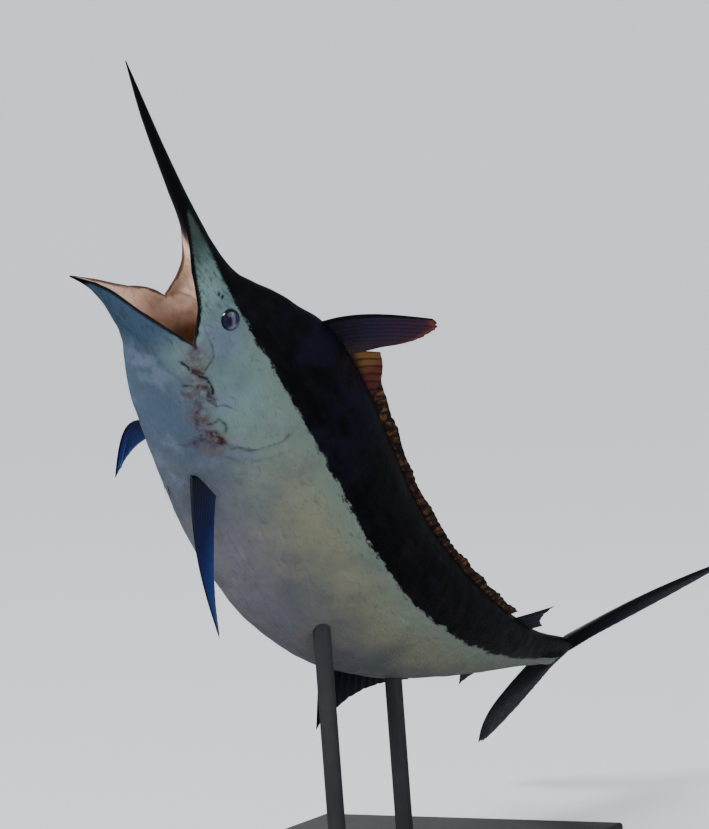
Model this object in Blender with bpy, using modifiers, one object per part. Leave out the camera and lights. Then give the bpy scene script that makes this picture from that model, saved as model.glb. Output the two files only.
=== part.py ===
"""A leaping black marlin, life size, held by a plain display stand.

The fish is shaped in its own straight frame: "aft" is the distance behind the
corners of the mouth, "left" the distance to its left and "up" the distance
toward its back. The spine then bends the rear half, and an empty carries the
whole fish in its leaping pose above the stand. Lengths are in metres.
"""

import math

import bmesh
import bpy
import numpy as np
from mathutils import Matrix, Vector

COLLECTION = "black_marlin"
GAP = 0.0003

# Pose of the fish in the world; it leaps toward -Y.
POSE_PITCH = math.radians(50.3)
POSE_BANK = math.radians(47.7)
POSE_LOCATION = (0.04, -0.72, 2.14)

# The spine: it curves to its right and toward its back, each between two distances aft.
SIDE_START = 0.95
SIDE_END = 2.80
BEND_SIDE = math.radians(34.0)
UP_START = 0.80
UP_END = 2.05
BEND_UP = math.radians(24.0)

# Stations along the fish, as distances aft.
BILL_TIP = -1.03
BILL_ROOT = -0.42
JAW_TIP = -0.392
JAW_END = -0.0013
HEAD_END = 0.42
TORSO_PARTING = 1.40
TAIL_START = 2.36
TAIL_END = 2.945

# Points round one side of a section, above and below its widest level.
UPPER_STEPS = 8
LOWER_STEPS = 6
LIP = 0.012

EYE_RADIUS = 0.038
EYE_AFT = 0.009
EYE_UP = 0.151
EYE_PROUD = 0.013
EYE_RIM_RADIUS = 0.0335
EYE_RIM_THICKNESS = 0.0050

# The first dorsal fin: its tall lobe ends here, its low run starts just behind, and the
# foremost rays of each bow forward.
LOBE_END = 0.478
RUN_START = 0.482
LOBE_BOW = 0.036
RUN_BOW = 0.008

# Where each pectoral fin points, as (aft, outward, up), how far its leading edge bows
# forward, and how far its middle rises above its drooping tip.
PECTORAL_REACH = {"left": (0.61, 0.67, -0.412), "right": (0.555, 0.73, -0.545)}
PECTORAL_BOW = {"left": 0.037, "right": 0.075}
PECTORAL_DROOP = {"left": 0.0, "right": 0.090}
PECTORAL_LENGTH = 0.58
PECTORAL_CHORD = 0.135
PECTORAL_CHORD_WAY = (0.737, -0.281, 0.615)
PECTORAL_TAPER = 0.84
PECTORAL_TRAIL = 0.028
PECTORAL_ROOT = (0.540, -0.195)
PECTORAL_RAYS = 14
PECTORAL_THICKNESS = (0.016, 0.003)

# The membrane between two rays ends at this share of their length.
MEMBRANE_LENGTH = 0.975

PELVIC_ROOT = 0.455
PELVIC_LENGTH = 0.26
TAIL_RAYS = 15

# Each nostril's place as (aft, up), and its radius.
NOSTRILS = ((-0.085, 0.163), (-0.069, 0.168))
NOSTRIL_RADIUS = 0.0045

# The keels on the tail stock: where they run, and how far each stands off the middle.
KEEL_START = 2.66
KEEL_END = 2.88
KEEL_LEVELS = (0.020, -0.014)
KEEL_HALF_THICKNESS = 0.0055

# How deep a fin's or a gill cover's root is sunk before it is cut back to the body.
ROOT_SUNK = 0.03
PLATE_SUNK = 0.012

BASE_SIZE = (1.30, 2.20, 0.06)
BASE_BEVEL = 0.012
ROD_RADIUS = 0.032
ROD_FOOT_RADIUS = 0.075
ROD_FOOT_HEIGHT = 0.025
ROD_FOOT_SLOPE = 0.012

# Each rod's place on the base and a height safely inside the body above it.
ROD_PLACES = {
    "stand_rod_front": (0.06, 0.02, 1.44),
    "stand_rod_rear": (0.02, 0.56, 0.83),
}


def smooth_curve(points):
    """Return a smooth function through (distance, value) points, with no overshoot."""
    xs, ys = np.array(points, dtype=float).T
    steps = np.diff(xs)
    slopes = np.diff(ys) / steps
    tangents = np.empty_like(ys)
    tangents[0] = slopes[0]
    tangents[-1] = slopes[-1]
    for i in range(1, len(xs) - 1):
        same_way = slopes[i - 1] * slopes[i] > 0
        tangents[i] = 2 * slopes[i - 1] * slopes[i] / (slopes[i - 1] + slopes[i]) if same_way else 0.0

    def value(x):
        i = int(np.clip(np.searchsorted(xs, x, side="right") - 1, 0, len(steps) - 1))
        t = min(max((x - xs[i]) / steps[i], 0.0), 1.0)
        rise = ys[i] * (1 + 2 * t) * (1 - t) ** 2 + ys[i + 1] * t * t * (3 - 2 * t)
        lean = tangents[i] * t * (1 - t) ** 2 - tangents[i + 1] * t * t * (1 - t)
        return float(rise + lean * steps[i])

    return value


# Outline of the body, the upper jaw and the bill, by distance aft.
back_line = smooth_curve([
    (-1.03, 0.276), (-0.90, 0.266), (-0.65, 0.246), (-0.40, 0.233), (-0.25, 0.230), (-0.12, 0.240),
    (-0.04, 0.258), (0.02, 0.288), (0.10, 0.336), (0.20, 0.383), (0.30, 0.425), (0.42, 0.450),
    (0.58, 0.457), (0.80, 0.443), (1.10, 0.412), (1.50, 0.364), (1.90, 0.290), (2.30, 0.196),
    (2.60, 0.135), (2.80, 0.118), (2.95, 0.108),
])
belly_line = smooth_curve([
    (0.00, -0.228), (0.08, -0.252), (0.18, -0.278), (0.30, -0.299), (0.45, -0.321), (0.62, -0.342),
    (0.90, -0.362), (1.20, -0.357), (1.50, -0.318), (1.80, -0.240), (2.10, -0.150), (2.40, -0.082),
    (2.65, -0.053), (2.80, -0.050), (2.95, -0.040),
])
half_width = smooth_curve([
    (-1.03, 0.003), (-0.98, 0.0095), (-0.80, 0.0185), (-0.50, 0.032), (-0.35, 0.042), (-0.27, 0.048),
    (-0.20, 0.060), (-0.15, 0.086), (-0.09, 0.126), (-0.03, 0.160), (0.00, 0.176), (0.06, 0.181),
    (0.20, 0.190), (0.45, 0.204), (0.80, 0.216), (1.15, 0.212), (1.50, 0.186), (1.90, 0.138),
    (2.30, 0.084), (2.60, 0.048), (2.80, 0.034), (2.89, 0.022), (2.95, 0.006),
])
widest_level = smooth_curve([
    (-1.03, 0.274), (-0.80, 0.242), (-0.50, 0.208), (-0.42, 0.193), (-0.35, 0.174), (-0.28, 0.152),
    (-0.21, 0.129), (-0.15, 0.107), (-0.09, 0.077), (-0.03, 0.026), (0.00, 0.000), (0.20, 0.006),
    (0.50, 0.040), (0.90, 0.050), (1.50, 0.044), (2.10, 0.040), (2.95, 0.034),
])
under_bulge = smooth_curve([
    (-1.03, 0.002), (-0.80, 0.016), (-0.50, 0.024), (-0.42, 0.018), (-0.35, 0.009), (-0.29, 0.000),
    (-0.20, -0.020), (-0.10, -0.052), (0.00, -0.090),
])
upper_fullness = smooth_curve([
    (-1.03, 2.0), (-0.30, 2.0), (-0.05, 1.55), (0.10, 1.6), (0.45, 1.9), (2.95, 2.0),
])
lower_fullness = smooth_curve([(0.00, 1.65), (0.30, 1.75), (0.80, 1.95), (2.95, 2.0)])

# The lower jaw: its rim, keel and the floor of the mouth.
rim_half_width = smooth_curve([
    (-0.392, 0.003), (-0.345, 0.013), (-0.275, 0.036), (-0.18, 0.093), (-0.085, 0.152), (0.00, 0.176),
])
rim_level = smooth_curve([
    (-0.392, -0.243), (-0.345, -0.203), (-0.275, -0.153), (-0.18, -0.102), (-0.085, -0.044), (0.00, -0.003),
])
keel_level = smooth_curve([
    (-0.392, -0.250), (-0.345, -0.226), (-0.29, -0.207), (-0.20, -0.196), (-0.12, -0.196),
    (-0.05, -0.207), (0.00, -0.228),
])
floor_drop = smooth_curve([
    (-0.392, 0.0015), (-0.345, 0.006), (-0.275, 0.024), (-0.18, 0.056), (-0.085, 0.082), (0.00, 0.100),
])

# The mouth's cavity behind its corners.
cavity_half_width = smooth_curve([(-0.02, 0.150), (0.00, 0.158), (0.10, 0.120), (0.22, 0.070), (0.32, 0.030)])
cavity_top = smooth_curve([(-0.02, 0.080), (0.00, 0.086), (0.12, 0.070), (0.32, 0.020)])
cavity_bottom = smooth_curve([(-0.02, -0.090), (0.00, -0.098), (0.12, -0.092), (0.32, -0.040)])


def eased(value, start, end):
    """Ease from 0 at start to 1 at end."""
    share = min(max((value - start) / (end - start), 0.0), 1.0)
    return share * share * (3 - 2 * share)


def spine_table(end=3.6, step=0.01):
    """Return aft distances with the spine's points and its forward and left directions."""
    distances = np.arange(0.0, end + step, step)
    points = []
    headings = []
    place = Vector((0.0, 0.0, 0.0))
    for distance in distances:
        side = BEND_SIDE * eased(distance, SIDE_START, SIDE_END)
        rise = BEND_UP * eased(distance, UP_START, UP_END)
        turn = Matrix.Rotation(side, 3, "Z") @ Matrix.Rotation(rise, 3, "Y")
        points.append(place.copy())
        headings.append(turn)
        place = place - turn @ Vector((step, 0.0, 0.0))
    return distances, points, headings


SPINE_DISTANCES, SPINE_POINTS, SPINE_TURNS = spine_table()


def bend(aft, left, up):
    """Place a point of the straight fish on the bent one."""
    if aft <= 0.0:
        return Vector((-aft, left, up))
    step = SPINE_DISTANCES[1]
    i = min(int(aft / step), len(SPINE_POINTS) - 2)
    share = aft / step - i
    centre = SPINE_POINTS[i].lerp(SPINE_POINTS[i + 1], share)
    turn = SPINE_TURNS[i].to_quaternion().slerp(SPINE_TURNS[i + 1].to_quaternion(), share)
    return centre + turn @ Vector((0.0, left, up))


def material(name, color, roughness, metallic=0.0):
    """Make a Principled material."""
    made = bpy.data.materials.new(name)
    made.use_nodes = True
    shader = made.node_tree.nodes["Principled BSDF"]
    shader.inputs["Base Color"].default_value = (*color, 1.0)
    shader.inputs["Roughness"].default_value = roughness
    shader.inputs["Metallic"].default_value = metallic
    return made


def add_mesh(name, verts, faces, collection, finish=None):
    """Add an object made of the given points and faces, with its faces turned out."""
    mesh = bpy.data.meshes.new(name)
    shape = bmesh.new()
    corners = [shape.verts.new(vert) for vert in verts]
    for face in faces:
        shape.faces.new([corners[k] for k in face])
    bmesh.ops.recalc_face_normals(shape, faces=shape.faces)
    bmesh.ops.triangulate(shape, faces=shape.faces)
    shape.to_mesh(mesh)
    shape.free()
    if finish:
        mesh.materials.append(finish)
    made = bpy.data.objects.new(name, mesh)
    collection.objects.link(made)
    return made


def loft(name, rings, collection, finish=None):
    """Join closed rings of equal count into one capped body."""
    count = len(rings[0])
    verts = [point for ring in rings for point in ring]
    faces = []
    for r in range(len(rings) - 1):
        for k in range(count):
            after = (k + 1) % count
            near, far = r * count, (r + 1) * count
            faces.append((near + k, near + after, far + after, far + k))
    faces.append(tuple(range(count)))
    faces.append(tuple(range((len(rings) - 1) * count, len(rings) * count)))
    return add_mesh(name, verts, faces, collection, finish)


def both_sides(half):
    """Turn a half section, from top to bottom on the left, into a full loop."""
    right = [(-left, up) for left, up in reversed(half[1:-1])]
    return half + right


def upper_arc(aft):
    """Return the left side of a section from its top down to its widest level."""
    width, level, top = half_width(aft), widest_level(aft), back_line(aft)
    power = 2.0 / upper_fullness(aft)
    points = []
    for j in range(UPPER_STEPS + 1):
        turn = 0.5 * math.pi * j / UPPER_STEPS
        height = level + (top - level) * max(math.cos(turn), 0.0) ** power
        points.append((width * math.sin(turn) ** power, height))
    return points


def body_section(aft):
    """Return the closed section of head or body at a distance aft."""
    width, level, bottom = half_width(aft), widest_level(aft), belly_line(aft)
    power = 2.0 / lower_fullness(aft)
    half = upper_arc(aft)
    for j in range(1, LOWER_STEPS + 1):
        turn = 0.5 * math.pi * j / LOWER_STEPS
        height = level + (bottom - level) * math.sin(turn) ** power
        half.append((width * max(math.cos(turn), 0.0) ** power, height))
    return both_sides(half)


def upper_jaw_section(aft):
    """Return the section of the bill or upper jaw, with its under side round or arched."""
    width, level, bulge = half_width(aft), widest_level(aft), under_bulge(aft)
    inner = width - LIP * min(max(-bulge / 0.02, 0.0), 1.0)
    half = upper_arc(aft)
    if bulge > 0:
        for j in range(1, LOWER_STEPS + 1):
            turn = 0.5 * math.pi * j / LOWER_STEPS
            half.append((width * max(math.cos(turn), 0.0), level - bulge * math.sin(turn)))
    else:
        for j in range(LOWER_STEPS):
            turn = 0.5 * math.pi * (j + 0.15) / (LOWER_STEPS - 0.85)
            half.append((inner * max(math.cos(turn), 0.0), level - 0.002 - bulge * math.sin(turn)))
        half[-1] = (0.0, half[-1][1])
    return both_sides(half)


def lower_jaw_section(aft):
    """Return the trough section of the lower jaw, from the floor round the rim to the keel."""
    width, rim, keel, drop = rim_half_width(aft), rim_level(aft), keel_level(aft), floor_drop(aft)
    inner = max(width - LIP, 0.35 * width)
    power = 2.0 / lower_fullness(0.0)
    half = []
    for j in range(LOWER_STEPS + 1):
        turn = 0.5 * math.pi * j / LOWER_STEPS
        half.append((inner * math.sin(turn), rim - drop * math.cos(turn)))
    for j in range(LOWER_STEPS + 1):
        turn = 0.5 * math.pi * j / LOWER_STEPS
        height = rim - 0.001 + (keel - rim) * math.sin(turn) ** power
        half.append((width * max(math.cos(turn), 0.0) ** power, height))
    half[-1] = (0.0, keel)
    return both_sides(half)


def rings_of(section, stations):
    """Return bent rings of a section at each distance aft."""
    return [[bend(aft, left, up) for left, up in section(aft)] for aft in stations]


def spread(start, end, count):
    """Return evenly spaced distances, both ends included."""
    return [start + (end - start) * i / (count - 1) for i in range(count)]


def evaluated_copy(source, name, collection):
    """Add a plain mesh copy of an object as it is evaluated."""
    graph = bpy.context.evaluated_depsgraph_get()
    mesh = bpy.data.meshes.new_from_object(source.evaluated_get(graph))
    made = bpy.data.objects.new(name, mesh)
    made.matrix_world = source.matrix_world.copy()
    collection.objects.link(made)
    return made


def keep_largest(target):
    """Keep only the largest closed surface of a mesh."""
    shape = bmesh.new()
    shape.from_mesh(target.data)
    left = set(shape.verts)
    groups = []
    while left:
        stack = [left.pop()]
        group = set(stack)
        while stack:
            for edge in stack.pop().link_edges:
                for vert in edge.verts:
                    if vert in left:
                        left.remove(vert)
                        group.add(vert)
                        stack.append(vert)
        groups.append(group)
    groups.sort(key=len)
    for group in groups[:-1]:
        bmesh.ops.delete(shape, geom=list(group), context="VERTS")
    shape.to_mesh(target.data)
    shape.free()


def combine(target, others, operation):
    """Join or cut a mesh with others in one exact Boolean, then remove the others."""
    group = bpy.data.collections.new(f"{target.name}_{operation.lower()}")
    bpy.context.scene.collection.children.link(group)
    for other in others:
        group.objects.link(other)
    step = target.modifiers.new("combine", "BOOLEAN")
    step.operation = operation
    step.operand_type = "COLLECTION"
    step.collection = group
    step.solver = "EXACT"
    graph = bpy.context.evaluated_depsgraph_get()
    mesh = bpy.data.meshes.new_from_object(target.evaluated_get(graph))
    target.modifiers.clear()
    target.data = mesh
    for other in others:
        bpy.data.objects.remove(other)
    bpy.data.collections.remove(group)
    keep_largest(target)


def swollen(source, amount, collection):
    """Add a copy of a body with its surface moved out by an amount."""
    made = evaluated_copy(source, f"{source.name}_swollen", collection)
    shape = bmesh.new()
    shape.from_mesh(made.data)
    bmesh.ops.triangulate(shape, faces=shape.faces)
    shape.normal_update()
    moves = []
    for vert in shape.verts:
        normals = [face.normal for face in vert.link_faces if face.calc_area() > 1e-10]
        share = min((vert.normal.dot(normal) for normal in normals), default=1.0)
        moves.append(vert.normal * amount / max(share, 0.35))
    for vert, move in zip(shape.verts, moves):
        vert.co += move
    shape.to_mesh(made.data)
    shape.free()
    return made


def fin(name, roots, tips, across, root_thickness, tip_thickness, rows, collection, finish,
        ridge=0.25, sag=None):
    """Make a fin from the roots and tips of its rays, with each ray a ridge on the membrane.

    Between two rays the membrane is a column of its own, thinner than the rays
    and a little shorter, so that the free edge is notched. "across" is the
    direction through the fin and "sag" bows each ray along its length.
    """
    count = 2 * len(roots) - 1
    columns = []
    for c in range(count):
        i = c // 2
        if c % 2 == 0:
            columns.append((Vector(roots[i]), Vector(tips[i]), 1.0))
        else:
            root = 0.5 * (Vector(roots[i]) + Vector(roots[i + 1]))
            tip = 0.5 * (Vector(tips[i]) + Vector(tips[i + 1]))
            tip = root + (tip - root) * MEMBRANE_LENGTH
            columns.append((root, tip, 1.0 - ridge))
    verts = []
    for side in (1.0, -1.0):
        for c, (root, tip, share) in enumerate(columns):
            for r in range(rows + 1):
                t = r / rows
                middle = root.lerp(tip, t)
                if sag:
                    middle = middle + sag(c / (count - 1), t)
                edge = 0.45 if c in (0, count - 1) else 1.0
                half = 0.5 * edge * share * (root_thickness + (tip_thickness - root_thickness) * t)
                point = middle + Vector(across) * (side * max(half, 0.0004))
                verts.append(bend(*point))
    faces = []
    shift = count * (rows + 1)

    def index(side, c, r):
        return side * shift + c * (rows + 1) + r

    for c in range(count - 1):
        for r in range(rows):
            for side in (0, 1):
                a, b = index(side, c, r), index(side, c + 1, r)
                d, e = index(side, c, r + 1), index(side, c + 1, r + 1)
                faces.append((a, b, e))
                faces.append((a, e, d))
    for r in range(rows):
        for c in (0, count - 1):
            faces.append((index(0, c, r), index(0, c, r + 1), index(1, c, r + 1), index(1, c, r)))
    for c in range(count - 1):
        for r in (0, rows):
            faces.append((index(0, c, r), index(0, c + 1, r), index(1, c + 1, r), index(1, c, r)))
    return add_mesh(name, verts, faces, collection, finish)


def seat(target, bodies, helpers):
    """Cut a sunk root back to the bodies it grows from, leaving the thin gap."""
    cutters = [swollen(body, GAP, helpers) for body in bodies]
    combine(target, cutters, "DIFFERENCE")


def sphere(name, centre, radius, segments, collection, finish=None):
    """Add a closed sphere in the fish's frame."""
    mesh = bpy.data.meshes.new(name)
    shape = bmesh.new()
    bmesh.ops.create_uvsphere(shape, u_segments=segments, v_segments=segments // 2, radius=radius)
    placed = Matrix.Translation(centre) @ Matrix.Rotation(math.pi / 2, 4, "X")
    bmesh.ops.transform(shape, matrix=placed, verts=shape.verts)
    shape.to_mesh(mesh)
    shape.free()
    if finish:
        mesh.materials.append(finish)
    made = bpy.data.objects.new(name, mesh)
    collection.objects.link(made)
    return made


def skin_left(aft, up):
    """Return how far left the skin lies at a distance aft and a height."""
    level = widest_level(aft)
    if up >= level:
        share = min((up - level) / (back_line(aft) - level), 1.0)
        power = upper_fullness(aft)
    else:
        share = min((level - up) / (level - belly_line(aft)), 1.0)
        power = lower_fullness(aft)
    return half_width(aft) * max(1.0 - share ** power, 0.0) ** (1.0 / power)


def skin_normal(aft, up, step=0.004):
    """Return the direction out of the left skin, as (forward, left, up)."""
    slope_up = (skin_left(aft, up + step) - skin_left(aft, up - step)) / (2 * step)
    slope_aft = (skin_left(aft + step, up) - skin_left(aft - step, up)) / (2 * step)
    return Vector((slope_aft, 1.0, -slope_up)).normalized()


def on_head(side, aft, up, lift):
    """Return a place over the skin of one side of the head, with the direction out of it."""
    place = Vector((-aft, skin_left(aft, up), up))
    outward = skin_normal(aft, up)
    flip = Vector((1.0, side, 1.0))
    return (place + outward * lift) * flip, outward * flip


def take_active(name, collection):
    """Name the object that was just added and move it to a collection."""
    made = bpy.context.object
    made.name = name
    made.data.name = name
    for old in list(made.users_collection):
        old.objects.unlink(made)
    collection.objects.link(made)
    return made


def add_ring(name, centre, outward, major, minor, collection):
    """Add the rim round an eye as a torus that faces outward."""
    bpy.ops.mesh.primitive_torus_add(
        major_segments=24, minor_segments=6, major_radius=major, minor_radius=minor)
    made = take_active(name, collection)
    turn = outward.to_track_quat("Z", "Y").to_matrix().to_4x4()
    made.data.transform(Matrix.Translation(centre) @ turn)
    return made


def turned(name, profile, steps, collection, finish):
    """Turn a profile of (radius, height) points round the vertical axis into a closed body."""
    mesh = bpy.data.meshes.new(f"{name}_profile")
    links = [(k, k + 1) for k in range(len(profile) - 1)]
    mesh.from_pydata([(radius, 0.0, height) for radius, height in profile], links, [])
    outline = bpy.data.objects.new(f"{name}_profile", mesh)
    collection.objects.link(outline)
    screw = outline.modifiers.new("turn", "SCREW")
    screw.axis = "Z"
    screw.steps = steps
    screw.render_steps = steps
    screw.use_merge_vertices = True
    screw.merge_threshold = 0.0001
    screw.use_normal_calculate = True
    made = evaluated_copy(outline, name, collection)
    made.data.name = name
    made.data.materials.append(finish)
    bpy.data.objects.remove(outline)
    return made


def make_head(fish, helpers, finish):
    """Make the head with upper jaw, mouth cavity, eye sockets, eye rims and nostrils."""
    stations = spread(BILL_ROOT, -0.22, 7)[:-1] + spread(-0.22, -0.001, 11)
    rings = rings_of(upper_jaw_section, stations)
    rings += rings_of(body_section, spread(0.0, 0.14, 5)[:-1] + spread(0.14, HEAD_END, 7))
    head = loft("head", rings, fish, finish)
    cavity = []
    for aft in spread(-0.02, 0.32, 9):
        width, top, bottom = cavity_half_width(aft), cavity_top(aft), cavity_bottom(aft)
        ring = []
        for k in range(16):
            turn = 2 * math.pi * (k + 0.5) / 16
            height = top if math.sin(turn) > 0 else -bottom
            ring.append(Vector((-aft, width * math.cos(turn), height * math.sin(turn))))
        cavity.append(ring)
    rims = []
    cutters = [loft("cavity", cavity, helpers)]
    for side in (1, -1):
        rim_place, outward = on_head(side, EYE_AFT, EYE_UP, -0.001)
        rims.append(add_ring("eye_rim", rim_place, outward, EYE_RIM_RADIUS, EYE_RIM_THICKNESS, helpers))
        centre, _ = on_head(side, EYE_AFT, EYE_UP, EYE_PROUD - EYE_RADIUS)
        cutters.append(sphere("socket", centre, EYE_RADIUS + GAP, 16, helpers))
        for aft, up in NOSTRILS:
            place, _ = on_head(side, aft, up, 0.001)
            cutters.append(sphere("nostril", place, NOSTRIL_RADIUS, 8, helpers))
    combine(head, rims, "UNION")
    combine(head, cutters, "DIFFERENCE")
    return head


def make_gill_cover(name, side, fish, helpers, finish, bodies):
    """Make the plate that covers the gills, with a free rear edge."""
    rear_edge = smooth_curve([(-0.20, 0.30), (-0.13, 0.36), (-0.05, 0.425), (0.01, 0.485), (0.06, 0.509),
                              (0.11, 0.512), (0.17, 0.493), (0.235, 0.44)])
    front_edge = smooth_curve([(-0.20, 0.245), (-0.05, 0.20), (0.10, 0.20), (0.235, 0.34)])
    heights = spread(-0.20, 0.235, 10)
    columns = 5
    verts = []
    for layer in (0, 1):
        for up in heights:
            for c in range(columns + 1):
                t = c / columns
                aft = front_edge(up) + (rear_edge(up) - front_edge(up)) * t
                lift = (0.001 + 0.007 * t ** 1.5) if layer else -PLATE_SUNK
                point, _ = on_head(side, aft, up, lift)
                verts.append(bend(-point.x, point.y, point.z))
    faces = []
    row = columns + 1
    shift = len(heights) * row
    for r in range(len(heights) - 1):
        for c in range(columns):
            for layer in (0, 1):
                a = layer * shift + r * row + c
                faces.append((a, a + 1, a + row + 1))
                faces.append((a, a + row + 1, a + row))
    border = list(range(row))
    border += [r * row + columns for r in range(1, len(heights))]
    border += [(len(heights) - 1) * row + c for c in range(columns - 1, -1, -1)]
    border += [r * row for r in range(len(heights) - 2, 0, -1)]
    for k, here in enumerate(border):
        after = border[(k + 1) % len(border)]
        faces.append((here, after, shift + after, shift + here))
    plate = add_mesh(name, verts, faces, fish, finish)
    seat(plate, bodies, helpers)
    return plate


# Each ray of the first dorsal fin, by where its root is: its tip's distance aft and height over the back.
lobe_tip_aft = smooth_curve([
    (0.30, 0.538), (0.33, 0.562), (0.36, 0.585), (0.39, 0.588), (0.415, 0.580), (0.44, 0.562),
    (0.465, 0.532), (0.478, 0.517),
])
lobe_tip_rise = smooth_curve([
    (0.30, 0.307), (0.33, 0.314), (0.36, 0.298), (0.39, 0.262), (0.415, 0.212), (0.44, 0.164),
    (0.465, 0.104), (0.478, 0.067),
])
run_tip_aft = smooth_curve([
    (0.48, 0.553), (0.52, 0.584), (0.58, 0.628), (0.64, 0.672), (0.74, 0.765), (1.00, 1.03), (2.20, 2.25),
])
run_tip_rise = smooth_curve([
    (0.48, 0.097), (0.52, 0.086), (0.58, 0.067), (0.64, 0.049), (0.74, 0.043), (2.20, 0.033),
])


def first_dorsal(name, bases, rows, tip_aft, tip_rise, bow, fish, helpers, finish, bodies):
    """Make a stretch of the long dorsal fin from the places where its rays leave the back."""
    roots = [(aft, 0.0, back_line(aft) - ROOT_SUNK) for aft in bases]
    tips = [(tip_aft(aft), 0.0, back_line(tip_aft(aft)) + tip_rise(aft)) for aft in bases]

    def sag(c, t):
        return Vector((-bow * math.sin(math.pi * t) * (1 - c), 0.0, 0.0))

    made = fin(name, roots, tips, (0, 1, 0), 0.012, 0.003, rows, fish, finish, sag=sag)
    seat(made, bodies, helpers)
    return made


def median_fin(name, outline, fish, helpers, finish, bodies, thickness, rows, below):
    """Make a fin in the fish's middle plane from (root aft, tip aft, tip rise) of its rays."""
    roots = []
    tips = []
    sign = -1.0 if below else 1.0
    edge = belly_line if below else back_line
    for root_aft, tip_at, rise in outline:
        roots.append((root_aft, 0.0, edge(root_aft) - sign * 0.02))
        tips.append((tip_at, 0.0, edge(root_aft) + sign * rise))
    made = fin(name, roots, tips, (0, 1, 0), thickness, 0.002, rows, fish, finish)
    seat(made, bodies, helpers)
    return made


def falcate(start, end, count, reach, rise, low, lean):
    """Return the rays of a sickle-shaped fin: long in front, then falling away."""
    rays = []
    for i in range(count):
        t = i / (count - 1)
        fall = (1 - t) ** 2.6
        root = start + (end - start) * t
        rays.append((root, root + reach * fall + lean * (1 - fall), low + (rise - low) * fall))
    return rays


def make_side_fin(name, label, fish, helpers, finish, bodies):
    """Make a stiff pectoral fin, held out, back and down from the shoulder."""
    side = 1 if label == "left" else -1
    reach = Vector(PECTORAL_REACH[label]).normalized()
    chord = Vector(PECTORAL_CHORD_WAY)
    chord = (chord - reach * chord.dot(reach)).normalized()
    across = reach.cross(chord).normalized()
    root_aft, root_up = PECTORAL_ROOT
    root_middle = Vector((root_aft, skin_left(root_aft, root_up) - ROOT_SUNK, root_up))

    def mirrored(point):
        return Vector((point[0], side * point[1], point[2]))

    def length_share(c):
        return 1.0 - PECTORAL_TAPER * c ** 1.25

    def sag(c, t):
        swell = math.sin(math.pi * t * length_share(c))
        bowed = chord * (-PECTORAL_BOW[label] * swell * (1 - c))
        return mirrored(bowed - across * (PECTORAL_DROOP[label] * swell))

    roots = []
    tips = []
    for c in spread(0.0, 1.0, PECTORAL_RAYS):
        roots.append(mirrored(root_middle + chord * (c - 0.5) * PECTORAL_CHORD))
        out = reach * (PECTORAL_LENGTH * length_share(c))
        tips.append(mirrored(root_middle + out + chord * (PECTORAL_TRAIL * c ** 0.6)))
    made = fin(name, roots, tips, mirrored(across), *PECTORAL_THICKNESS, 6, fish, finish, ridge=0.3,
               sag=sag)
    seat(made, bodies, helpers)
    return made


def make_pelvic_fin(name, side, fish, helpers, finish, bodies):
    """Make a very slender pelvic fin that trails under the breast."""
    roots = []
    tips = []
    for i in range(3):
        t = i / 2
        aft = PELVIC_ROOT + 0.022 * t
        trail = belly_line(aft + PELVIC_LENGTH) - 0.012 + 0.004 * t
        roots.append((aft, side * 0.030, belly_line(aft) + 0.02))
        tips.append((aft + PELVIC_LENGTH - 0.03 * t, side * 0.048, trail))
    made = fin(name, roots, tips, (0, 1, 0), 0.008, 0.003, 5, fish, finish, ridge=0.15)
    seat(made, bodies, helpers)
    return made


def make_tail_lobe(name, sign, fish, helpers, finish, bodies):
    """Make one lobe of the crescent tail fin."""
    root_aft = smooth_curve([(0.0, 2.80), (0.25, 2.865), (0.6, 2.905), (1.0, 2.915)])
    root_rise = smooth_curve([(0.0, 0.070), (0.25, 0.058), (0.6, 0.032), (1.0, 0.003)])
    tip_aft = smooth_curve([(0.0, 3.300), (0.12, 3.318), (0.25, 3.232), (0.45, 3.115),
                            (0.7, 3.020), (1.0, 2.985)])
    tip_rise = smooth_curve([(0.0, 0.665), (0.12, 0.640), (0.25, 0.450), (0.45, 0.255),
                             (0.7, 0.100), (1.0, 0.003)])
    centre = 0.5 * (back_line(TAIL_END) + belly_line(TAIL_END))
    roots = []
    tips = []
    for i in range(TAIL_RAYS):
        t = i / (TAIL_RAYS - 1)
        roots.append((root_aft(t), 0.0, centre + sign * root_rise(t)))
        tips.append((tip_aft(t), 0.0, centre + sign * tip_rise(t)))

    def sag(c, t):
        return Vector((-0.055, 0.0, sign * 0.045)) * (math.sin(math.pi * t) * (1 - c) ** 2)

    made = fin(name, roots, tips, (0, 1, 0), 0.030, 0.003, 6, fish, finish, ridge=0.2, sag=sag)
    seat(made, bodies, helpers)
    return made


def add_keels(tail, helpers):
    """Join the two low keels on each side of the tail stock."""
    keels = []
    for side in (1, -1):
        for level in KEEL_LEVELS:
            rings = []
            for aft in spread(KEEL_START, KEEL_END, 7):
                along = (aft - KEEL_START) / (KEEL_END - KEEL_START)
                swell = math.sin(math.pi * (0.02 + 0.96 * along)) ** 0.8
                middle = widest_level(aft) + level + math.copysign(0.010, level) * along
                root = half_width(aft) - 0.012
                out = half_width(aft) + 0.001 + 0.017 * swell
                thick = KEEL_HALF_THICKNESS
                outline = ((root, middle + thick), (out - 0.004, middle + 0.5 * thick), (out, middle),
                           (out - 0.004, middle - 0.5 * thick), (root, middle - thick))
                rings.append([bend(aft, side * left, up) for left, up in outline])
            keels.append(loft("keel", rings, helpers))
    combine(tail, keels, "UNION")


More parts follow.
